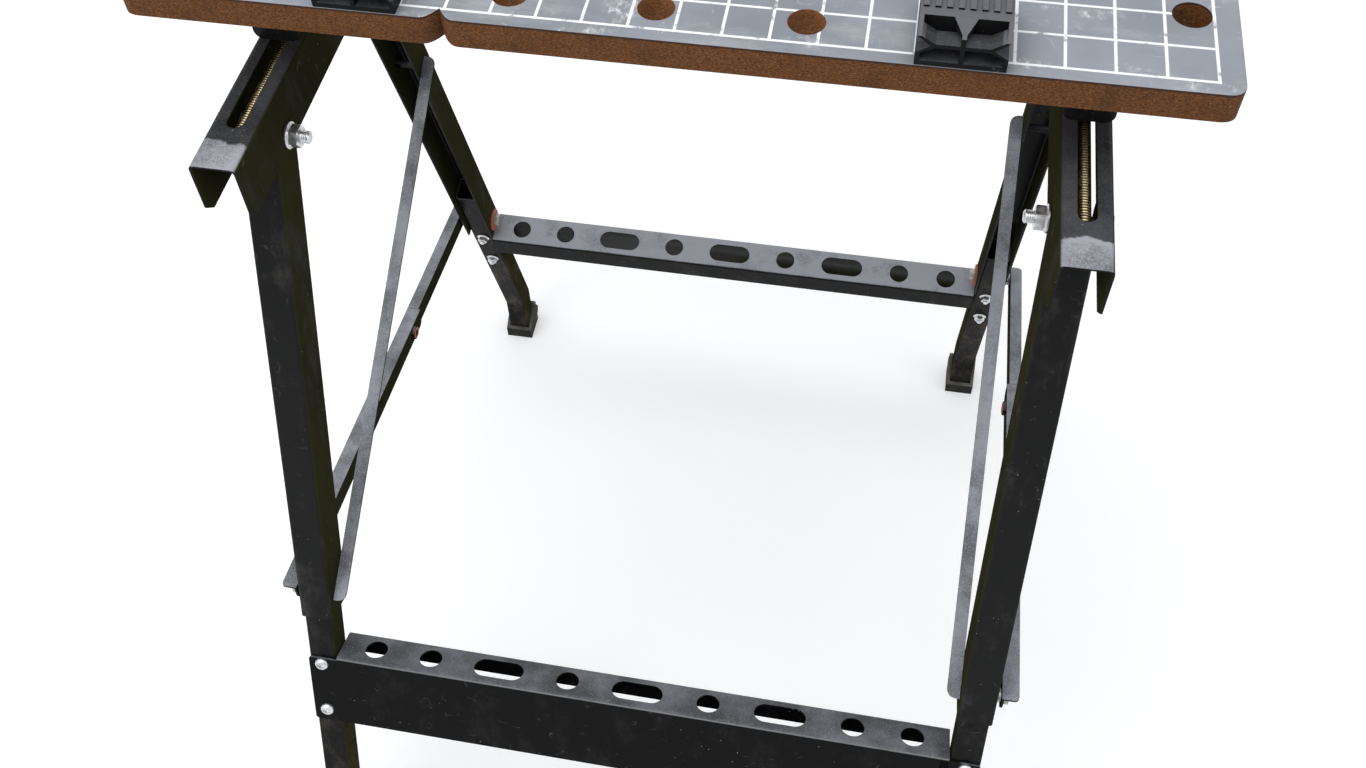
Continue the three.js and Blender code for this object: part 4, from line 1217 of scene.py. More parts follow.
@dataclass(frozen=True)
class Studio:
    """Pale floor, soft light and the camera."""

    floor: Colour = (0.86, 0.865, 0.875)
    floor_shade: float = 0.985
    glow: float = 0.30
    ambient: float = 0.55
    reach: float = 6000.0
    floor_span: Point = (-20.0, -0.2)
    panels: tuple[Panel, ...] = (
        Panel("sky_panel", spot=(-0.4, -0.3, 2.6), aim=(0.0, 0.0, 0.3), size=2.4, power=36.0,
              colour=(1.0, 0.99, 0.97)),
        Panel("front_panel", spot=(-1.6, -2.2, 1.7), aim=(0.0, 0.0, 0.5), size=1.6, power=16.0,
              colour=(1.0, 1.0, 1.0)),
        Panel("right_panel", spot=(2.4, -0.6, 1.5), aim=(0.0, 0.0, 0.5), size=1.4, power=9.0,
              colour=(0.96, 0.98, 1.0)))
    eye: Triple = (128.176, -621.582, 1237.095)
    look: Triple = (0.897493, 0.186073, 0.0498506)
    sensor: float = 36.0
    focal: float = 1404.93
    centre: Point = (660.88, 304.84)
    image: Point = (1366.0, 768.0)

    def camera(self) -> None:
        """Sets the camera to the viewing angle of the reference picture."""
        turn = Vector(self.look)
        spin = Matrix.Rotation(turn.length, 3, turn.normalized())
        level = Matrix(((1, 0, 0), (0, 0, -1), (0, 1, 0)))
        to_camera = spin @ level
        flip = Matrix(((1, 0, 0), (0, -1, 0), (0, 0, -1)))
        data = bpy.data.cameras.new("studio_camera")
        data.sensor_fit = "HORIZONTAL"
        data.sensor_width = self.sensor
        data.lens = self.focal * self.sensor / self.image[0]
        data.shift_x = (self.image[0] / 2 - self.centre[0]) / self.image[0]
        data.shift_y = (self.centre[1] - self.image[1] / 2) / self.image[0]
        data.clip_start = 0.01
        camera = bpy.data.objects.new("studio_camera", data)
        bpy.context.scene.collection.objects.link(camera)
        spot = Matrix.Translation(Vector(self.eye) * MM)
        camera.matrix_world = spot @ (to_camera.transposed() @ flip).to_4x4()
        bpy.context.scene.camera = camera

    def seen(self, kit: NodeKit) -> bpy.types.NodeSocket:
        """1 for rays that show a surface directly, in a reflection or through something clear.

        Args:
            kit: Kit of the material's tree.

        Returns:
            The mask.
        """
        path = kit.add("ShaderNodeLightPath")
        direct = kit.math("MAXIMUM", path.outputs["Is Camera Ray"], path.outputs["Is Glossy Ray"])
        return kit.math("MAXIMUM", direct, path.outputs["Is Transmission Ray"])

    def ground(self) -> None:
        """Makes the pale floor, which glows a little where it is seen so that it reads white."""
        disc = circle(0, 0, 2 * self.reach, steps=96)
        floor = MeshWork().prism(disc, upright, *self.floor_span).object("studio_floor")
        material, kit, shader = blank_material("studio_floor")
        tone = kit.patches(0.8, (0.2, 0.8), detail=2.0)
        shade = tuple(c * self.floor_shade for c in self.floor)
        kit.feed(shader.inputs["Base Color"], kit.mix(tone, self.floor, shade))
        shader.inputs["Roughness"].default_value = 0.75
        shader.inputs["Specular IOR Level"].default_value = 0.2
        shader.inputs["Emission Color"].default_value = (1.0, 1.0, 1.0, 1.0)
        kit.feed(shader.inputs["Emission Strength"], kit.math("MULTIPLY", self.seen(kit), self.glow))
        floor.data.materials.append(material)
        floor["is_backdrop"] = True

    def sky(self) -> None:
        """Makes the even light all round, which is white where it is seen."""
        world = bpy.data.worlds.new("studio_world")
        world.use_nodes = True
        back = world.node_tree.nodes["Background"]
        back.inputs["Color"].default_value = (0.95, 0.97, 1.0, 1.0)
        kit = NodeKit(world.node_tree)
        extra = kit.math("MULTIPLY", self.seen(kit), 1.0 - self.ambient)
        kit.feed(back.inputs["Strength"], kit.math("ADD", extra, self.ambient))
        bpy.context.scene.world = world

    def build(self) -> None:
        """Makes the floor, the lamps, the world and the camera."""
        self.ground()
        self.sky()
        for panel in self.panels:
            panel.build()
        bpy.context.scene.view_settings.view_transform = "Standard"
        self.camera()


# Fasteners


@dataclass(frozen=True)
class PanScrew:
    """A pan-head screw with a cross recess, in millimetres."""

    head: float
    height: float
    shank: float
    diameter: float
    sides: int = 24
    shank_sides: int = 12
    arm_width: float = 0.09
    arm_reach: float = 0.30
    recess: float = 0.55

    def cross(self, place: Place, size: float, along: float) -> list[Vector]:
        """Ring that follows the arms of the recess.

        Args:
            place: Placing along the screw.
            size: Share of the arms' full reach.
            along: Place along the screw.

        Returns:
            The ring's points.
        """
        half, reach = self.arm_width * self.head, self.arm_reach * self.head
        ring = []
        for i in range(self.sides):
            turn = math.tau * i / self.sides
            c, s = math.cos(turn), math.sin(turn)
            far, near = max(abs(c), abs(s)), min(abs(c), abs(s))
            on_arm = near / far * reach <= half * 1.05
            arm = reach * size / far if on_arm else half * 1.45 / max(near, 0.35)
            ring.append(place(arm * c, arm * s, along))
        return ring

    def add(self, work: MeshWork, seat: Vector, axis: Vector) -> None:
        """Adds the screw to a mesh.

        Args:
            work: Mesh that it goes into.
            seat: Point under the head.
            axis: Direction in which the head stands.
        """
        place = frame_along(seat, axis)
        r, height = self.head / 2, self.height
        dome = [(0.0, r), (0.35 * height, r), (0.7 * height, 0.9 * r), (0.95 * height, 0.7 * r)]
        rings = [[place(u, v, along) for u, v in circle(0, 0, 2 * radius, self.sides)]
                 for along, radius in dome]
        rings.append(self.cross(place, 1.0, height))
        rings.append(self.cross(place, 0.8, height - self.recess * height))
        work.loft(rings)
        r = self.diameter / 2
        shank = [(-self.shank, 0.6 * r), (-self.shank + 0.5 * r, r), (0.1, r)]
        work.turned(shank, place, self.shank_sides)


@dataclass(frozen=True)
class Hexagon:
    """A hexagon nut or head with a turned top, in millimetres, on a flange if it has one."""

    corners: float
    height: float
    flange: float = 0.0
    rim: float = 0.0
    sides: int = 36
    crown: float = 0.88
    crown_height: float = 0.25
    chamfer_start: float = 0.93
    chamfer_slope: float = 0.6

    def outline(self) -> list[Point]:
        """Hexagon with as many points as the round rings beside it.

        Returns:
            The closed outline.
        """
        ring = []
        for i in range(self.sides):
            turn = math.tau * i / self.sides
            wedge = (turn + math.pi / 6) % (math.pi / 3) - math.pi / 6
            flat = self.corners / 2 * math.cos(math.pi / 6) / math.cos(abs(wedge) - math.pi / 6)
            ring.append((flat * math.cos(turn), flat * math.sin(turn)))
        return ring

    def add(self, work: MeshWork, seat: Vector, axis: Vector) -> None:
        """Adds the hexagon to a mesh.

        Args:
            work: Mesh that it goes into.
            seat: Point on its seat.
            axis: Direction in which it stands.
        """
        place = frame_along(seat, axis)
        r, edge, rim = self.corners / 2, self.flange / 2, self.rim
        six = self.outline()
        rings = []
        if self.flange:
            for along, radius in ((0.0, edge - 0.3), (0.4, edge), (rim * 0.7, edge), (rim, edge - 0.8)):
                rings.append([place(u, v, along) for u, v in circle(0, 0, 2 * radius, self.sides)])
            rings.append([place(u, v, rim + 0.5) for u, v in six])
        else:
            rings.append([place(u, v, 0.0) for u, v in six])
        shoulder = []
        for u, v in six:
            past = max(0.0, Vector((u, v)).length - self.chamfer_start * r)
            shoulder.append(place(u, v, self.height - self.crown_height - past * self.chamfer_slope))
        rings.append(shoulder)
        crown = circle(0, 0, 2 * r * self.crown, self.sides)
        rings.append([place(u, v, self.height) for u, v in crown])
        work.loft(rings)


# Sub-assemblies

Finish = Enamel | Plating | Moulding | GridBoard


@dataclass
class Finishes:
    """The bench's materials, by the name of the finish."""

    made: dict[str, bpy.types.Material] = field(default_factory=dict)

    def add(self, finish: Finish) -> None:
        """Makes the material of a finish and keeps it."""
        self.made[finish.name] = finish.build()

    def dress(self, piece: bpy.types.Object, slot: str, finish: str = "") -> None:
        """Gives a piece the material of a slot, or another finish of the same slot.

        Args:
            piece: Object to dress.
            slot: The record's material slot.
            finish: Name of the finish, if it isn't the slot's own.
        """
        piece.data.materials.clear()
        piece.data.materials.append(self.made[finish or slot])


@dataclass
class SubAssembly(ABC):
    """A group of pieces that are made, dressed and put on their bodies together."""

    finishes: Finishes

    @abstractmethod
    def build(self) -> None:
        """Makes and dresses the pieces."""

    def seat(self, piece: bpy.types.Object, body: str, *nodes: str) -> None:
        """Puts a finished piece on its body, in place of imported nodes.

        Args:
            piece: Finished object.
            body: Body that it moves with.
            *nodes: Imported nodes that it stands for.
        """
        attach(piece, body)
        if nodes:
            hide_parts(*nodes)
        LOG.info("%s on %s", piece.name, body)

    def keep(self, node: str, slot: str, edge: float, finish: str = "", angle: float = 40.0) -> None:
        """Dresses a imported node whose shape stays, with its edges rounded a little.

        Args:
            node: Name of the node.
            slot: The record's material slot.
            edge: Rounding of its edges in millimetres.
            finish: Name of the finish, if it isn't the slot's own.
            angle: Edges sharper than this many degrees are rounded.
        """
        piece = frame["nodes"][node]
        self.finishes.dress(piece, slot, finish)
        smooth(piece, edge, angle)
        LOG.info("%s kept", node)


@dataclass
class JawBoard(SubAssembly):
    """A fibreboard jaw with its row of dog holes and a hole near each end."""

    node: str
    body: str
    outward: int
    finish: str
    corner: float = 10.0
    back_corner: float = 0.8
    edge_round: float = 0.7
    holes: DogHoles = DogHoles()
    end_inset: float = 24.5
    end_edge: float = 60.0
    notch: Triple = (-117.0, 20.0, 9.0)
    notch_steps: int = 12

    def outline(self, low: Vector, high: Vector) -> list[Point]:
        """Plan of the board, with round outer corners and the worn notch of the near board.

        Args:
            low: Lowest corner of the board in millimetres.
            high: Highest corner.

        Returns:
            The closed plan.
        """
        edge, back = (low.y, high.y) if self.outward < 0 else (high.y, low.y)
        points: list[Point] = [(low.x, back), (low.x, edge)]
        if self.outward < 0:
            middle, width, depth = self.notch
            for i in range(self.notch_steps + 1):
                t = 2 * i / self.notch_steps - 1
                worn = depth * (1 - abs(t)) ** 2
                points.append((middle + t * width / 2, edge - self.outward * worn))
        points += [(high.x, edge), (high.x, back)]
        loop: list[Point] = []
        for i, here in enumerate(points):
            if here[0] in (low.x, high.x):
                radius = self.corner if here[1] == edge else self.back_corner
                bend = [points[i - 1], here, points[(i + 1) % len(points)]]
                loop.extend(fillet(bend, radius, steps=8)[1:-1])
            else:
                loop.append(here)
        return loop

    def build(self) -> None:
        """Makes and dresses the board."""
        low, high = millimetres(self.node)
        work = MeshWork().prism(self.outline(low, high), upright, low.z, high.z)
        board = work.object(f"{self.node}_board")
        edge = low.y if self.outward < 0 else high.y
        row = edge - self.outward * self.holes.edge
        count = self.holes.each_way
        places = [(i * self.holes.pitch, row) for i in range(-count, count + 1)]
        end = high.x - self.end_inset
        places += [(x, edge - self.outward * self.end_edge) for x in (-end, end)]
        bores = MeshWork()
        for x, y in places:
            bore = circle(x, y, self.holes.diameter, steps=56)
            bores.prism(bore, upright, low.z - PAST, high.z + PAST)
        combine(board, bores, Cut.AWAY)
        smooth(board, self.edge_round, angle=35.0, segments=3)
        self.finishes.dress(board, "fibreboard", self.finish)
        self.seat(board, self.body, self.node)


@dataclass
class Rail(SubAssembly):
    """One channel with its spindle, nut, bush, risers and crank."""

    side: Side
    thickness: float = 1.6
    bend: float = 4.0
    corner: float = 7.0
    slot_width: float = 10.5
    slot_inset: float = 33.0
    slot_length: float = 134.0
    thread: float = 2.0
    thread_depth: float = 0.75
    thread_sides: int = 20
    thread_steps: int = 5
    spindle: float = 8.0
    tip: float = 0.72
    tip_length: float = 2.0
    collar: float = 15.0
    collar_width: float = 6.0
    collar_chamfer: float = 0.6
    collar_inset: float = 12.3
    jaw_screw: PanScrew = PanScrew(head=9.0, height=2.6, shank=14.0, diameter=4.0)
    jaw_screw_inset: Point = (7.5, 12.0)

    def channel(self) -> None:
        """Makes the inverted channel with its slot."""
        node = f"channel_{self.side.label}"
        low, high = millimetres(node)
        skin = [(high.x, low.z), (high.x, high.z), (low.x, high.z), (low.x, low.z)]
        section = sheet_loop(skin, self.thickness, self.bend)
        channel = MeshWork().prism(section, lengthways, low.y, high.y).object(f"{node}_pressing")
        cuts = MeshWork()
        for end, into in ((low.y, 1), (high.y, -1)):
            outside, below, reach = end - into * PAST, low.z - PAST, self.corner + PAST
            wedge = [(outside, below), (end + into * reach, below), (outside, low.z + reach)]
            cuts.prism(wedge, across, low.x - PAST, high.x + PAST)
        middle = (low.x + high.x) / 2
        along = low.y + self.slot_inset + self.slot_length / 2
        slot = [(middle + v, u) for u, v in stadium(along, 0, self.slot_length, self.slot_width)]
        cuts.prism(slot, upright, high.z - 3 * self.thickness, high.z + PAST)
        combine(channel, cuts, Cut.AWAY)
        smooth(channel, SHEET_EDGE)
        self.finishes.dress(channel, "black_enamel", "channel_enamel")
        self.seat(channel, "table_frame", node)

    def thread_rings(self, place: Place, start: float, end: float) -> list[list[Vector]]:
        """Rings of points over the thread, tapered at its tip.

        Args:
            place: Puts (across, across, along) in the frame, in metres.
            start: Where the thread begins, at its tip.
            end: Where it ends.

        Returns:
            The rings from the tip on.
        """
        rings = []
        steps = int((end - start) / self.thread * self.thread_steps)
        for i in range(steps + 1):
            along = start + i * self.thread / self.thread_steps
            taper = min(1.0, self.tip + (1 - self.tip) * (along - start) / self.tip_length)
            ring = []
            for j in range(self.thread_sides):
                turn = math.tau * j / self.thread_sides
                phase = ((along - start) / self.thread - j / self.thread_sides) % 1.0
                depth = self.thread_depth * (1 - abs(2 * phase - 1))
                reach = (self.spindle / 2 - depth) * taper
                ring.append(place(reach * math.cos(turn), reach * math.sin(turn), along))
            rings.append(ring)
        return rings

    def screw(self) -> None:
        """Makes the spindle with its thread and thrust collar."""
        node = f"spindle_{self.side.label}"
        low, high = millimetres(node)
        x, z = (low.x + high.x) / 2, (low.z + high.z) / 2

        def centred(u: float, v: float, t: float) -> Vector:
            """Place of a ring round the spindle."""
            return Vector((x + u, t, z + v)) * MM

        face = millimetres(f"channel_{self.side.label}")[1].y - self.collar_inset
        start = face - self.collar_width
        work = MeshWork().loft(self.thread_rings(centred, low.y, start))
        shaft, flange, chamfer = self.spindle / 2, self.collar / 2, self.collar_chamfer
        work.turned([(start, flange - chamfer), (start + chamfer, flange), (face - chamfer, flange),
                     (face, flange - chamfer), (face, shaft), (high.y, shaft)], centred)
        spindle = smooth(work.object(f"{node}_screw"), 0, angle=60.0)
        self.finishes.dress(spindle, "yellow_zinc", f"thread_{self.side.label}")
        self.seat(spindle, node, node)

    def jaw_screws(self, riser: str, body: str) -> None:
        """Makes the screws that hold a riser to its jaw, seen from below.

        Args:
            riser: Name of the riser's node.
            body: Body that the screws move with.
        """
        low, high = millimetres(riser)
        work = MeshWork()
        seat = high.z - self.thickness
        for x in (low.x + self.jaw_screw_inset[0], high.x - self.jaw_screw_inset[0]):
            for y in (low.y + self.jaw_screw_inset[1], high.y - self.jaw_screw_inset[1]):
                self.jaw_screw.add(work, Vector((x, y, seat)), Vector((0, 0, -1)))
        screws = smooth(work.object(f"{riser}_screws"), 0)
        self.finishes.dress(screws, "zinc_plate")
        self.seat(screws, body)

    def build(self) -> None:
        """Makes and dresses the pieces of the rail."""
        label = self.side.label
        self.channel()
        self.screw()
        for which, body in (("moving", "moving_jaw"), ("fixed", "table_frame")):
            riser = f"{which}_riser_{label}"
            self.keep(riser, "black_enamel", 0.5)
            self.jaw_screws(riser, body)
        for node, slot, edge in (("spindle_nut", "zinc_plate", 0.6), ("spindle_bush", "black_plastic", 0.6),
                                 ("crank", "black_plastic", 1.0), ("crank_knob", "black_plastic", 0.5)):
            self.keep(f"{node}_{label}", slot, edge)


@dataclass
class LegFrame(SubAssembly):
    """The front or the rear pair of legs with their stretcher, boots and screws."""

    name: str
    facing: int
    lean: float
    upper_length: float
    stretcher_drop: float
    shallow_flange: float
    stretcher_finish: str
    spacing: float = 240.5
    width: float = 24.6
    depth: float = 28.0
    thickness: float = 1.6
    leg_bend: float = 3.2
    leg_top_steps: int = 20
    web_start: float = 3.0
    tube: Point = (20.8, 22.0)
    tube_wall: float = 1.5
    tube_corner: float = 2.6
    tube_bore: float = 30.0
    insertion: float = 70.0
    gap: float = 0.3
    foot_bend: float = 55.0
    foot_radius: float = 22.0
    foot_steps: int = 6
    sole: float = 5.0
    stretcher_width: float = 29.5
    stretcher_bend: float = 3.0
    stretcher_gap: float = 1.5
    deep_flange: float = 68.0
    tab_start: float = 3.2
    tab_lap: float = 6.0
    tab_corner: float = 2.5
    hole: float = 17.0
    slot: float = 38.0
    hole_pitch: float = 53.0
    end_pitch: float = 43.0
    screw: PanScrew = PanScrew(head=10.5, height=3.2, shank=31.5, diameter=5.0)
    nut: Hexagon = Hexagon(corners=9.2, height=5.0, flange=11.8, rim=1.3)
    screw_edge: float = 8.0
    screw_spacing: float = 48.0
    pivot: Point = field(init=False)
    tilt: float = field(init=False)
    body: str = field(init=False)
    tube_face: float = field(init=False)
    tube_centre: float = field(init=False)
    top: float = field(init=False)

    def __post_init__(self) -> None:
        """Works out where the frame hangs."""
        self.pivot = joint_point(f"{self.name}_leg_fold")
        self.tilt = math.radians(self.lean) * self.facing
        self.body = f"{self.name}_leg_frame"
        self.tube_face = self.depth / 2 - self.thickness - self.gap
        self.tube_centre = self.tube_face - self.tube[1] / 2
        self.top = self.upper_length + self.stretcher_drop

    def hung(self, x: float, v: float, down: float) -> Vector:
        """Place of a point x from the middle, v ahead in the leg's depth and down along the leg.

        Args:
            x: Place along X.
            v: Place across the leg's depth.
            down: Distance down the leg from its pivot.

        Returns:
            The place in metres.
        """
        c, s = math.cos(self.tilt), math.sin(self.tilt)
        y = self.pivot[0] + v * c + down * s
        z = self.pivot[1] + v * s - down * c
        return Vector((x, y, z)) * MM

    def upper_leg(self, side: Side) -> None:
        """Makes an upper leg: a U of sheet with round tops.

        Args:
            side: End of the bench.
        """
        node = f"{self.name}_upper_leg_{side.label}"
        half, deep = self.width / 2, self.depth / 2
        middle = side.value * self.spacing
        edge, web = self.facing * half, self.facing * deep
        skin = [(edge, -web), (edge, web), (-edge, web), (-edge, -web)]
        section = sheet_loop(skin, self.thickness, self.leg_bend)

        def down_leg(u: float, v: float, t: float) -> Vector:
            """Place of a section pushed down this leg."""
            return self.hung(middle + u, v, t)

        leg = MeshWork().prism(section, down_leg, -deep, self.upper_length)
        piece = leg.object(f"{node}_pressing")
        turns = [math.pi * i / self.leg_top_steps for i in range(1, self.leg_top_steps)]
        wide, low = deep + NUDGE, self.upper_length + PAST
        profile = [(wide, 0.0)] + [(deep * math.cos(a), -deep * math.sin(a)) for a in turns]
        profile += [(-wide, 0.0), (-wide, low), (wide, low)]
        side_on = MeshWork()
        side_on.prism(profile, lambda u, v, t: self.hung(middle + t, u, v), -half - PAST, half + PAST)
        combine(piece, side_on, Cut.KEEP)
        inside = half - self.thickness
        reach = deep + PAST
        above = [(-inside, -reach), (inside, -reach), (inside, reach), (-inside, reach)]
        combine(piece, MeshWork().prism(above, down_leg, -reach, self.web_start), Cut.AWAY)
        smooth(piece, SHEET_EDGE)
        self.finishes.dress(piece, "black_enamel")
        self.seat(piece, self.body, node)

    def foot_rings(self, hub: Vector, down: Vector, outer: Sequence[Point]) -> list[list[Vector]]:
        """Rings of points round the bend of a lower leg and down to its foot.

        Args:
            hub: Where the leg's line meets the upright, in metres.
            down: Direction down the leg.
            outer: Section of the tube.

        Returns:
            The rings from the bend on.
        """
        plumb = Vector((0.0, 0.0, -1.0))
        reach = self.foot_radius * abs(math.tan(self.tilt / 2)) * MM
        start, end = hub - down * reach, hub + plumb * reach
        rings = []
        for i in range(self.foot_steps + 1):
            t = i / self.foot_steps
            spot = start.lerp(hub, t).lerp(hub.lerp(end, t), t)
            way = down.lerp(plumb, t).normalized()
            ahead = Vector((0.0, -way.z, way.y))
            rings.append([spot + (Vector((u, 0.0, 0.0)) + ahead * v) * MM for u, v in outer])
        foot = hub + plumb * (self.foot_bend - self.sole - self.gap) * MM
        rings.append([foot + Vector((u, v, 0.0)) * MM for u, v in outer])
        return rings

    def lower_leg(self, side: Side) -> None:
        """Makes a lower leg: a tube with round corners, open at its top and bent upright at its foot.

        Args:
            side: End of the bench.
        """
        node = f"{self.name}_lower_leg_{side.label}"
        middle = side.value * self.spacing
        centre = self.facing * self.tube_centre
        wide, deep = self.tube
        u, v = wide / 2, deep / 2
        outer = round_outline([(-u, -v), (u, -v), (u, v), (-u, v)], self.tube_corner, steps=4)
        walls = 2 * self.tube_wall
        bore = [(u * (wide - walls) / wide, v * (deep - walls) / deep) for u, v in outer]
        start = self.upper_length - self.insertion
        rings = [[self.hung(middle + u, centre + v, down) for u, v in section]
                 for section, down in ((bore, start + self.tube_bore), (bore, start), (outer, start))]
        drop = self.pivot[1] - self.foot_bend + centre * math.sin(self.tilt)
        bend = drop / math.cos(self.tilt)
        hub = self.hung(middle, centre, bend)
        rings += self.foot_rings(hub, (self.hung(middle, centre, bend + 1) - hub) / MM, outer)
        tube = smooth(MeshWork().loft(rings).object(f"{node}_tube"), 0.3)
        self.finishes.dress(tube, "black_enamel", "splashed_enamel")
        self.seat(tube, self.body, node)

    def stretcher(self) -> None:
        """Makes the stretcher: a U of sheet with a row of holes and slots and a deep flange."""
        node = f"{self.name}_stretcher"
        half = self.spacing - self.tube[0] / 2 - self.stretcher_gap
        reach = self.spacing + self.tube[0] / 2
        f = self.facing
        face = f * (self.tube_face + self.gap + self.thickness)
        back = face - f * self.stretcher_width
        skin = [(face, self.top + self.deep_flange), (face, self.top), (back, self.top),
                (back, self.top + self.shallow_flange)]
        mirrored = [(-f * v, down) for v, down in skin]
        section = [(-f * v, down) for v, down in sheet_loop(mirrored, self.thickness, self.stretcher_bend)]
        work = MeshWork().prism(section, lambda u, v, t: self.hung(t, u, v), -half, half)
        bar = work.object(f"{node}_pressing")
        inner = face - f * self.thickness
        upper, lower = self.top + self.tab_start, self.top + self.deep_flange - NUDGE
        for end in (-1, 1):
            near, far = end * (half - self.tab_lap), end * reach
            tab = round_outline([(near, upper), (far, upper), (far, lower), (near, lower)], self.tab_corner)
            combine(bar, MeshWork().prism(tab, lambda u, v, t: self.hung(u, t, v), face, inner), Cut.JOIN)
        middle, pitch = (face + back) / 2, self.hole_pitch
        loops = [stadium(x, middle, self.slot, self.hole) for x in (-2 * pitch, 0.0, 2 * pitch)]
        last = 3 * pitch + self.end_pitch
        loops += [circle(s * x, middle, self.hole) for x in (pitch, 3 * pitch, last) for s in (-1, 1)]
        holes = MeshWork()
        for loop in loops:
            holes.prism(loop, self.hung, self.top - PAST, self.top + 3 * self.thickness)
        combine(bar, holes, Cut.AWAY)
        smooth(bar, SHEET_EDGE)
        self.finishes.dress(bar, "black_enamel", self.stretcher_finish)
        self.seat(bar, self.body, node)

    def screws(self, side: Side) -> None:
        """Makes the two screws that hold an end of the stretcher, and their nuts.

        Args:
            side: End of the bench.
        """
        out = (self.hung(0, self.facing, 0) - self.hung(0, 0, 0)) / MM
        face = self.facing * (self.tube_face + self.gap + self.thickness)
        back = self.facing * (self.tube_face - self.tube[1])
        x = side.value * self.spacing
        heads, nuts = MeshWork(), MeshWork()
        for i in range(2):
            down = self.top + self.screw_edge + i * self.screw_spacing
            self.screw.add(heads, self.hung(x, face, down) / MM, out)
            self.nut.add(nuts, self.hung(x, back, down) / MM, -out)
        for work, kind in ((heads, "screws"), (nuts, "nuts")):
            piece = smooth(work.object(f"{self.name}_stretcher_{kind}_{side.label}"), 0)
            self.finishes.dress(piece, "zinc_plate")
            self.seat(piece, self.body)

    def build(self) -> None:
        """Makes and dresses the pieces of the frame."""
        self.stretcher()
        for side in Side:
            self.upper_leg(side)
            self.lower_leg(side)
            self.screws(side)
            self.keep(f"{self.name}_boot_{side.label}", "black_rubber", 1.0)


@dataclass
class PivotHardware(SubAssembly):
    """Bolts, nuts, rivets and washers of the leg pivots and the folding links."""

    side: Side
    head: Hexagon = Hexagon(corners=15.0, height=5.3)
    nut: Hexagon = Hexagon(corners=15.0, height=8.0, flange=17.0, rim=1.8)
    bolt: float = 8.0
    thread: float = 1.25
    thread_depth: float = 0.6
    thread_length: float = 9.0
    thread_end: float = 1.0
    point: Point = (0.8, 1.0)
    ring: Triple = (10.0, 6.4, 0.5)

    def pivot_bolt(self, which: str) -> None:
        """Makes the bolt of a leg pivot.

        Args:
            which: Name of the leg frame, front or rear.
        """
        s = self.side.value
        name = f"{which}_pivot_bolt_{self.side.label}"
        low, high = millimetres(name)
        outer, tail = (high.x, low.x) if s > 0 else (low.x, high.x)
        seat = Vector((outer - s * self.head.height, *joint_point(f"{which}_leg_fold")))
        work = MeshWork()
        self.head.add(work, seat, Vector((s, 0, 0)))
        length, r = abs(tail - seat.x), self.bolt / 2
        profile = [(-0.5, r), (length - self.thread_length, r)]
        for i in range(int((self.thread_length - self.thread_end) / self.thread)):
            start = length - self.thread_length + i * self.thread
            root, end = start + self.thread * 0.5, start + self.thread - 0.1
            profile += [(start + 0.1, r), (root, r - self.thread_depth), (end, r)]
        profile += [(length - self.point[0], r), (length, r - self.point[1])]
        work.turned(profile, frame_along(seat, Vector((-s, 0, 0))))
        bolt = smooth(work.object(f"{name}_hex"), 0, angle=32.0)
        self.finishes.dress(bolt, "zinc_plate")
        self.seat(bolt, "table_frame", name)

    def pivot_nut(self, which: str) -> None:
        """Makes the flange nut of a leg pivot.

        Args:
            which: Name of the leg frame, front or rear.
        """
        s = self.side.value
        name = f"{which}_pivot_nut_{self.side.label}"
        low, high = millimetres(name)
        tip = Vector((low.x if s > 0 else high.x, *joint_point(f"{which}_leg_fold")))
        work = MeshWork()
        self.nut.add(work, tip + Vector((s * self.nut.height, 0, 0)), Vector((-s, 0, 0)))
        nut = smooth(work.object(f"{name}_flanged"), 0, angle=32.0)
        self.finishes.dress(nut, "zinc_plate")
        self.seat(nut, "table_frame", name)

    def knee_ring(self) -> None:
        """Makes the thin red ring on the inner head of the knee's rivet."""
        s = self.side.value
        low, high = millimetres(f"knee_rivet_{self.side.label}")
        face = low.x if s > 0 else high.x
        y, z = (low.y + high.y) / 2, (low.z + high.z) / 2
        outer, bore, thickness = self.ring
        place = frame_along(Vector((face, y, z)), Vector((-s, 0, 0)))
        work = MeshWork().prism(circle(0, 0, outer), place, 0.0, thickness)
        ring = work.object(f"knee_ring_{self.side.label}")
        combine(ring, MeshWork().prism(circle(0, 0, bore), place, -PAST, thickness + PAST), Cut.AWAY)
        smooth(ring, 0.15)
        self.finishes.dress(ring, "red_fibre")
        self.seat(ring, f"stay_front_{self.side.label}")

    def build(self) -> None:
        """Makes and dresses the hardware of one side."""
        label = self.side.label
        for which in ("front", "rear"):
            self.pivot_bolt(which)
            self.pivot_nut(which)
        for node in ("front_stay_bolt", "rear_stay_bolt"):
            self.keep(f"{node}_{label}", "zinc_plate", 0.9, "dull_zinc", angle=50.0)
        for node in ("brace_pivot", "knee_rivet"):
            self.keep(f"{node}_{label}", "zinc_plate", 0.6, "painted_rivet", angle=50.0)
        self.keep(f"rear_stay_washer_{label}", "red_fibre", 0.3)
        self.knee_ring()


@dataclass
class FoldingLinks(SubAssembly):
    """The inner brace and the two links of the outer stay on one side."""

    side: Side

    def build(self) -> None:
        """Dresses the straps."""
        for strap in ("inner_brace", "stay_front", "stay_rear"):
            self.keep(f"{strap}_{self.side.label}", "black_enamel", 0.5, "strap_enamel")


@dataclass
class BenchDogs(SubAssembly):
    """The four moulded bench dogs."""

    def build(self) -> None:
        """Dresses the dogs."""
        for row in ("front", "rear"):
            for side in Side:
                self.keep(f"bench_dog_{row}_{side.label}", "black_plastic", 0.6, "dog_plastic")


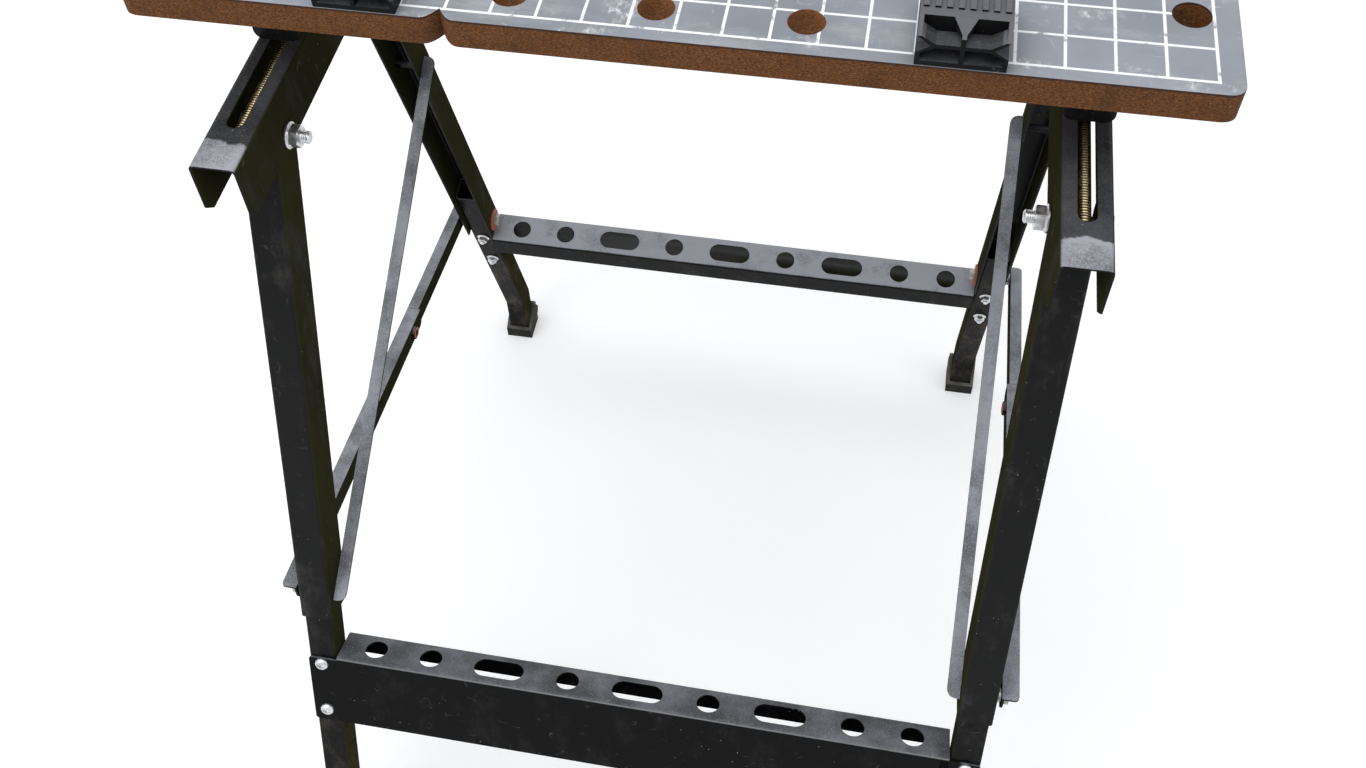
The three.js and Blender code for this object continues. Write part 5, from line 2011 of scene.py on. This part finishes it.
def make_finishes() -> Finishes:
    """Makes every material of the bench.

    Returns:
        The finishes by name.
    """
    finishes = Finishes()
    near_low, near_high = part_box("moving_jaw")
    far_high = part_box("fixed_jaw")[1]
    rail_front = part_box("channel_left")[0].y
    dog_roof = near_high.z + 18.8 * MM
    for finish in (
            Enamel("black_enamel", paint=(0.0098, 0.0099, 0.0100), smears=0.85),
            Enamel("bar_enamel", dust_amount=0.54, chips=1.6, smears=0.3, gloss=0.12, worn=0.75),
            # rear stretcher: thick dust, laid on heavier to make up for the shade of the jaw above it, so
            # partly painted light
            Enamel("dusty_enamel", dust_amount=2.0),
            Enamel("channel_enamel", dust_amount=0.2, chips=1.4, front=rail_front),
            Enamel("splashed_enamel", splash=0.6, chips=1.0),
            Enamel("strap_enamel", dust_amount=1.25),
            GridBoard("near_board", outer_edge=near_low.y / MM, top=near_high.z, inward=1),
            GridBoard("far_board", outer_edge=far_high.y / MM, top=far_high.z, inward=-1),
            Plating("zinc_plate"),
            Plating("dull_zinc", bright=(0.42, 0.42, 0.41), dull=(0.20, 0.20, 0.19), roughness=0.38,
                    dulling=0.8),
            Enamel("painted_rivet"),
            Moulding("black_plastic", colour=(0.008, 0.008, 0.0085)),
            Moulding("dog_plastic", colour=(0.006, 0.006, 0.0065), dust=(0.128, 0.132, 0.147),
                     dust_amount=0.6, smears=0.12, roughness=0.4, specular=0.06, roof=dog_roof),
            Moulding("black_rubber", colour=(0.012, 0.0115, 0.009), dust=(0.22, 0.21, 0.18),
                     dust_amount=0.8, roughness=0.7, specular=0.2),
            Moulding("red_fibre", colour=(0.42, 0.10, 0.07), dust=(0.40, 0.25, 0.22), dust_amount=0.3,
                     roughness=0.55)):
        finishes.add(finish)
    for side in Side:
        low, high = millimetres(f"spindle_{side.label}")
        axis = ((low.x + high.x) / 2, (low.z + high.z) / 2)
        finishes.add(Plating(f"thread_{side.label}", bright=(0.60, 0.49, 0.27), dull=(0.30, 0.22, 0.11),
                             roughness=0.36, thread_axis=axis))
    return finishes


def main() -> None:
    """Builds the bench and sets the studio."""
    logging.basicConfig(level=logging.INFO, format="%(name)s: %(message)s")
    finishes = make_finishes()
    assemblies: list[SubAssembly] = [
        JawBoard(finishes, "moving_jaw", body="moving_jaw", outward=-1, finish="near_board"),
        JawBoard(finishes, "fixed_jaw", body="table_frame", outward=1, finish="far_board"),
        BenchDogs(finishes),
        LegFrame(finishes, "front", facing=-1, lean=20.8, upper_length=385.0, stretcher_drop=38.0,
                 shallow_flange=18.5, stretcher_finish="bar_enamel"),
        LegFrame(finishes, "rear", facing=1, lean=16.5, upper_length=430.0, stretcher_drop=2.0,
                 shallow_flange=28.0, stretcher_finish="dusty_enamel")]
    for side in Side:
        assemblies += [Rail(finishes, side), PivotHardware(finishes, side), FoldingLinks(finishes, side)]
    for assembly in assemblies:
        assembly.build()
    Studio().build()
    boxes = {name: [list(corner) for corner in box]
             for name, box in (("cad", CAD_BOX), ("visual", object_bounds()))}


if __name__ == "__main__":
    main()
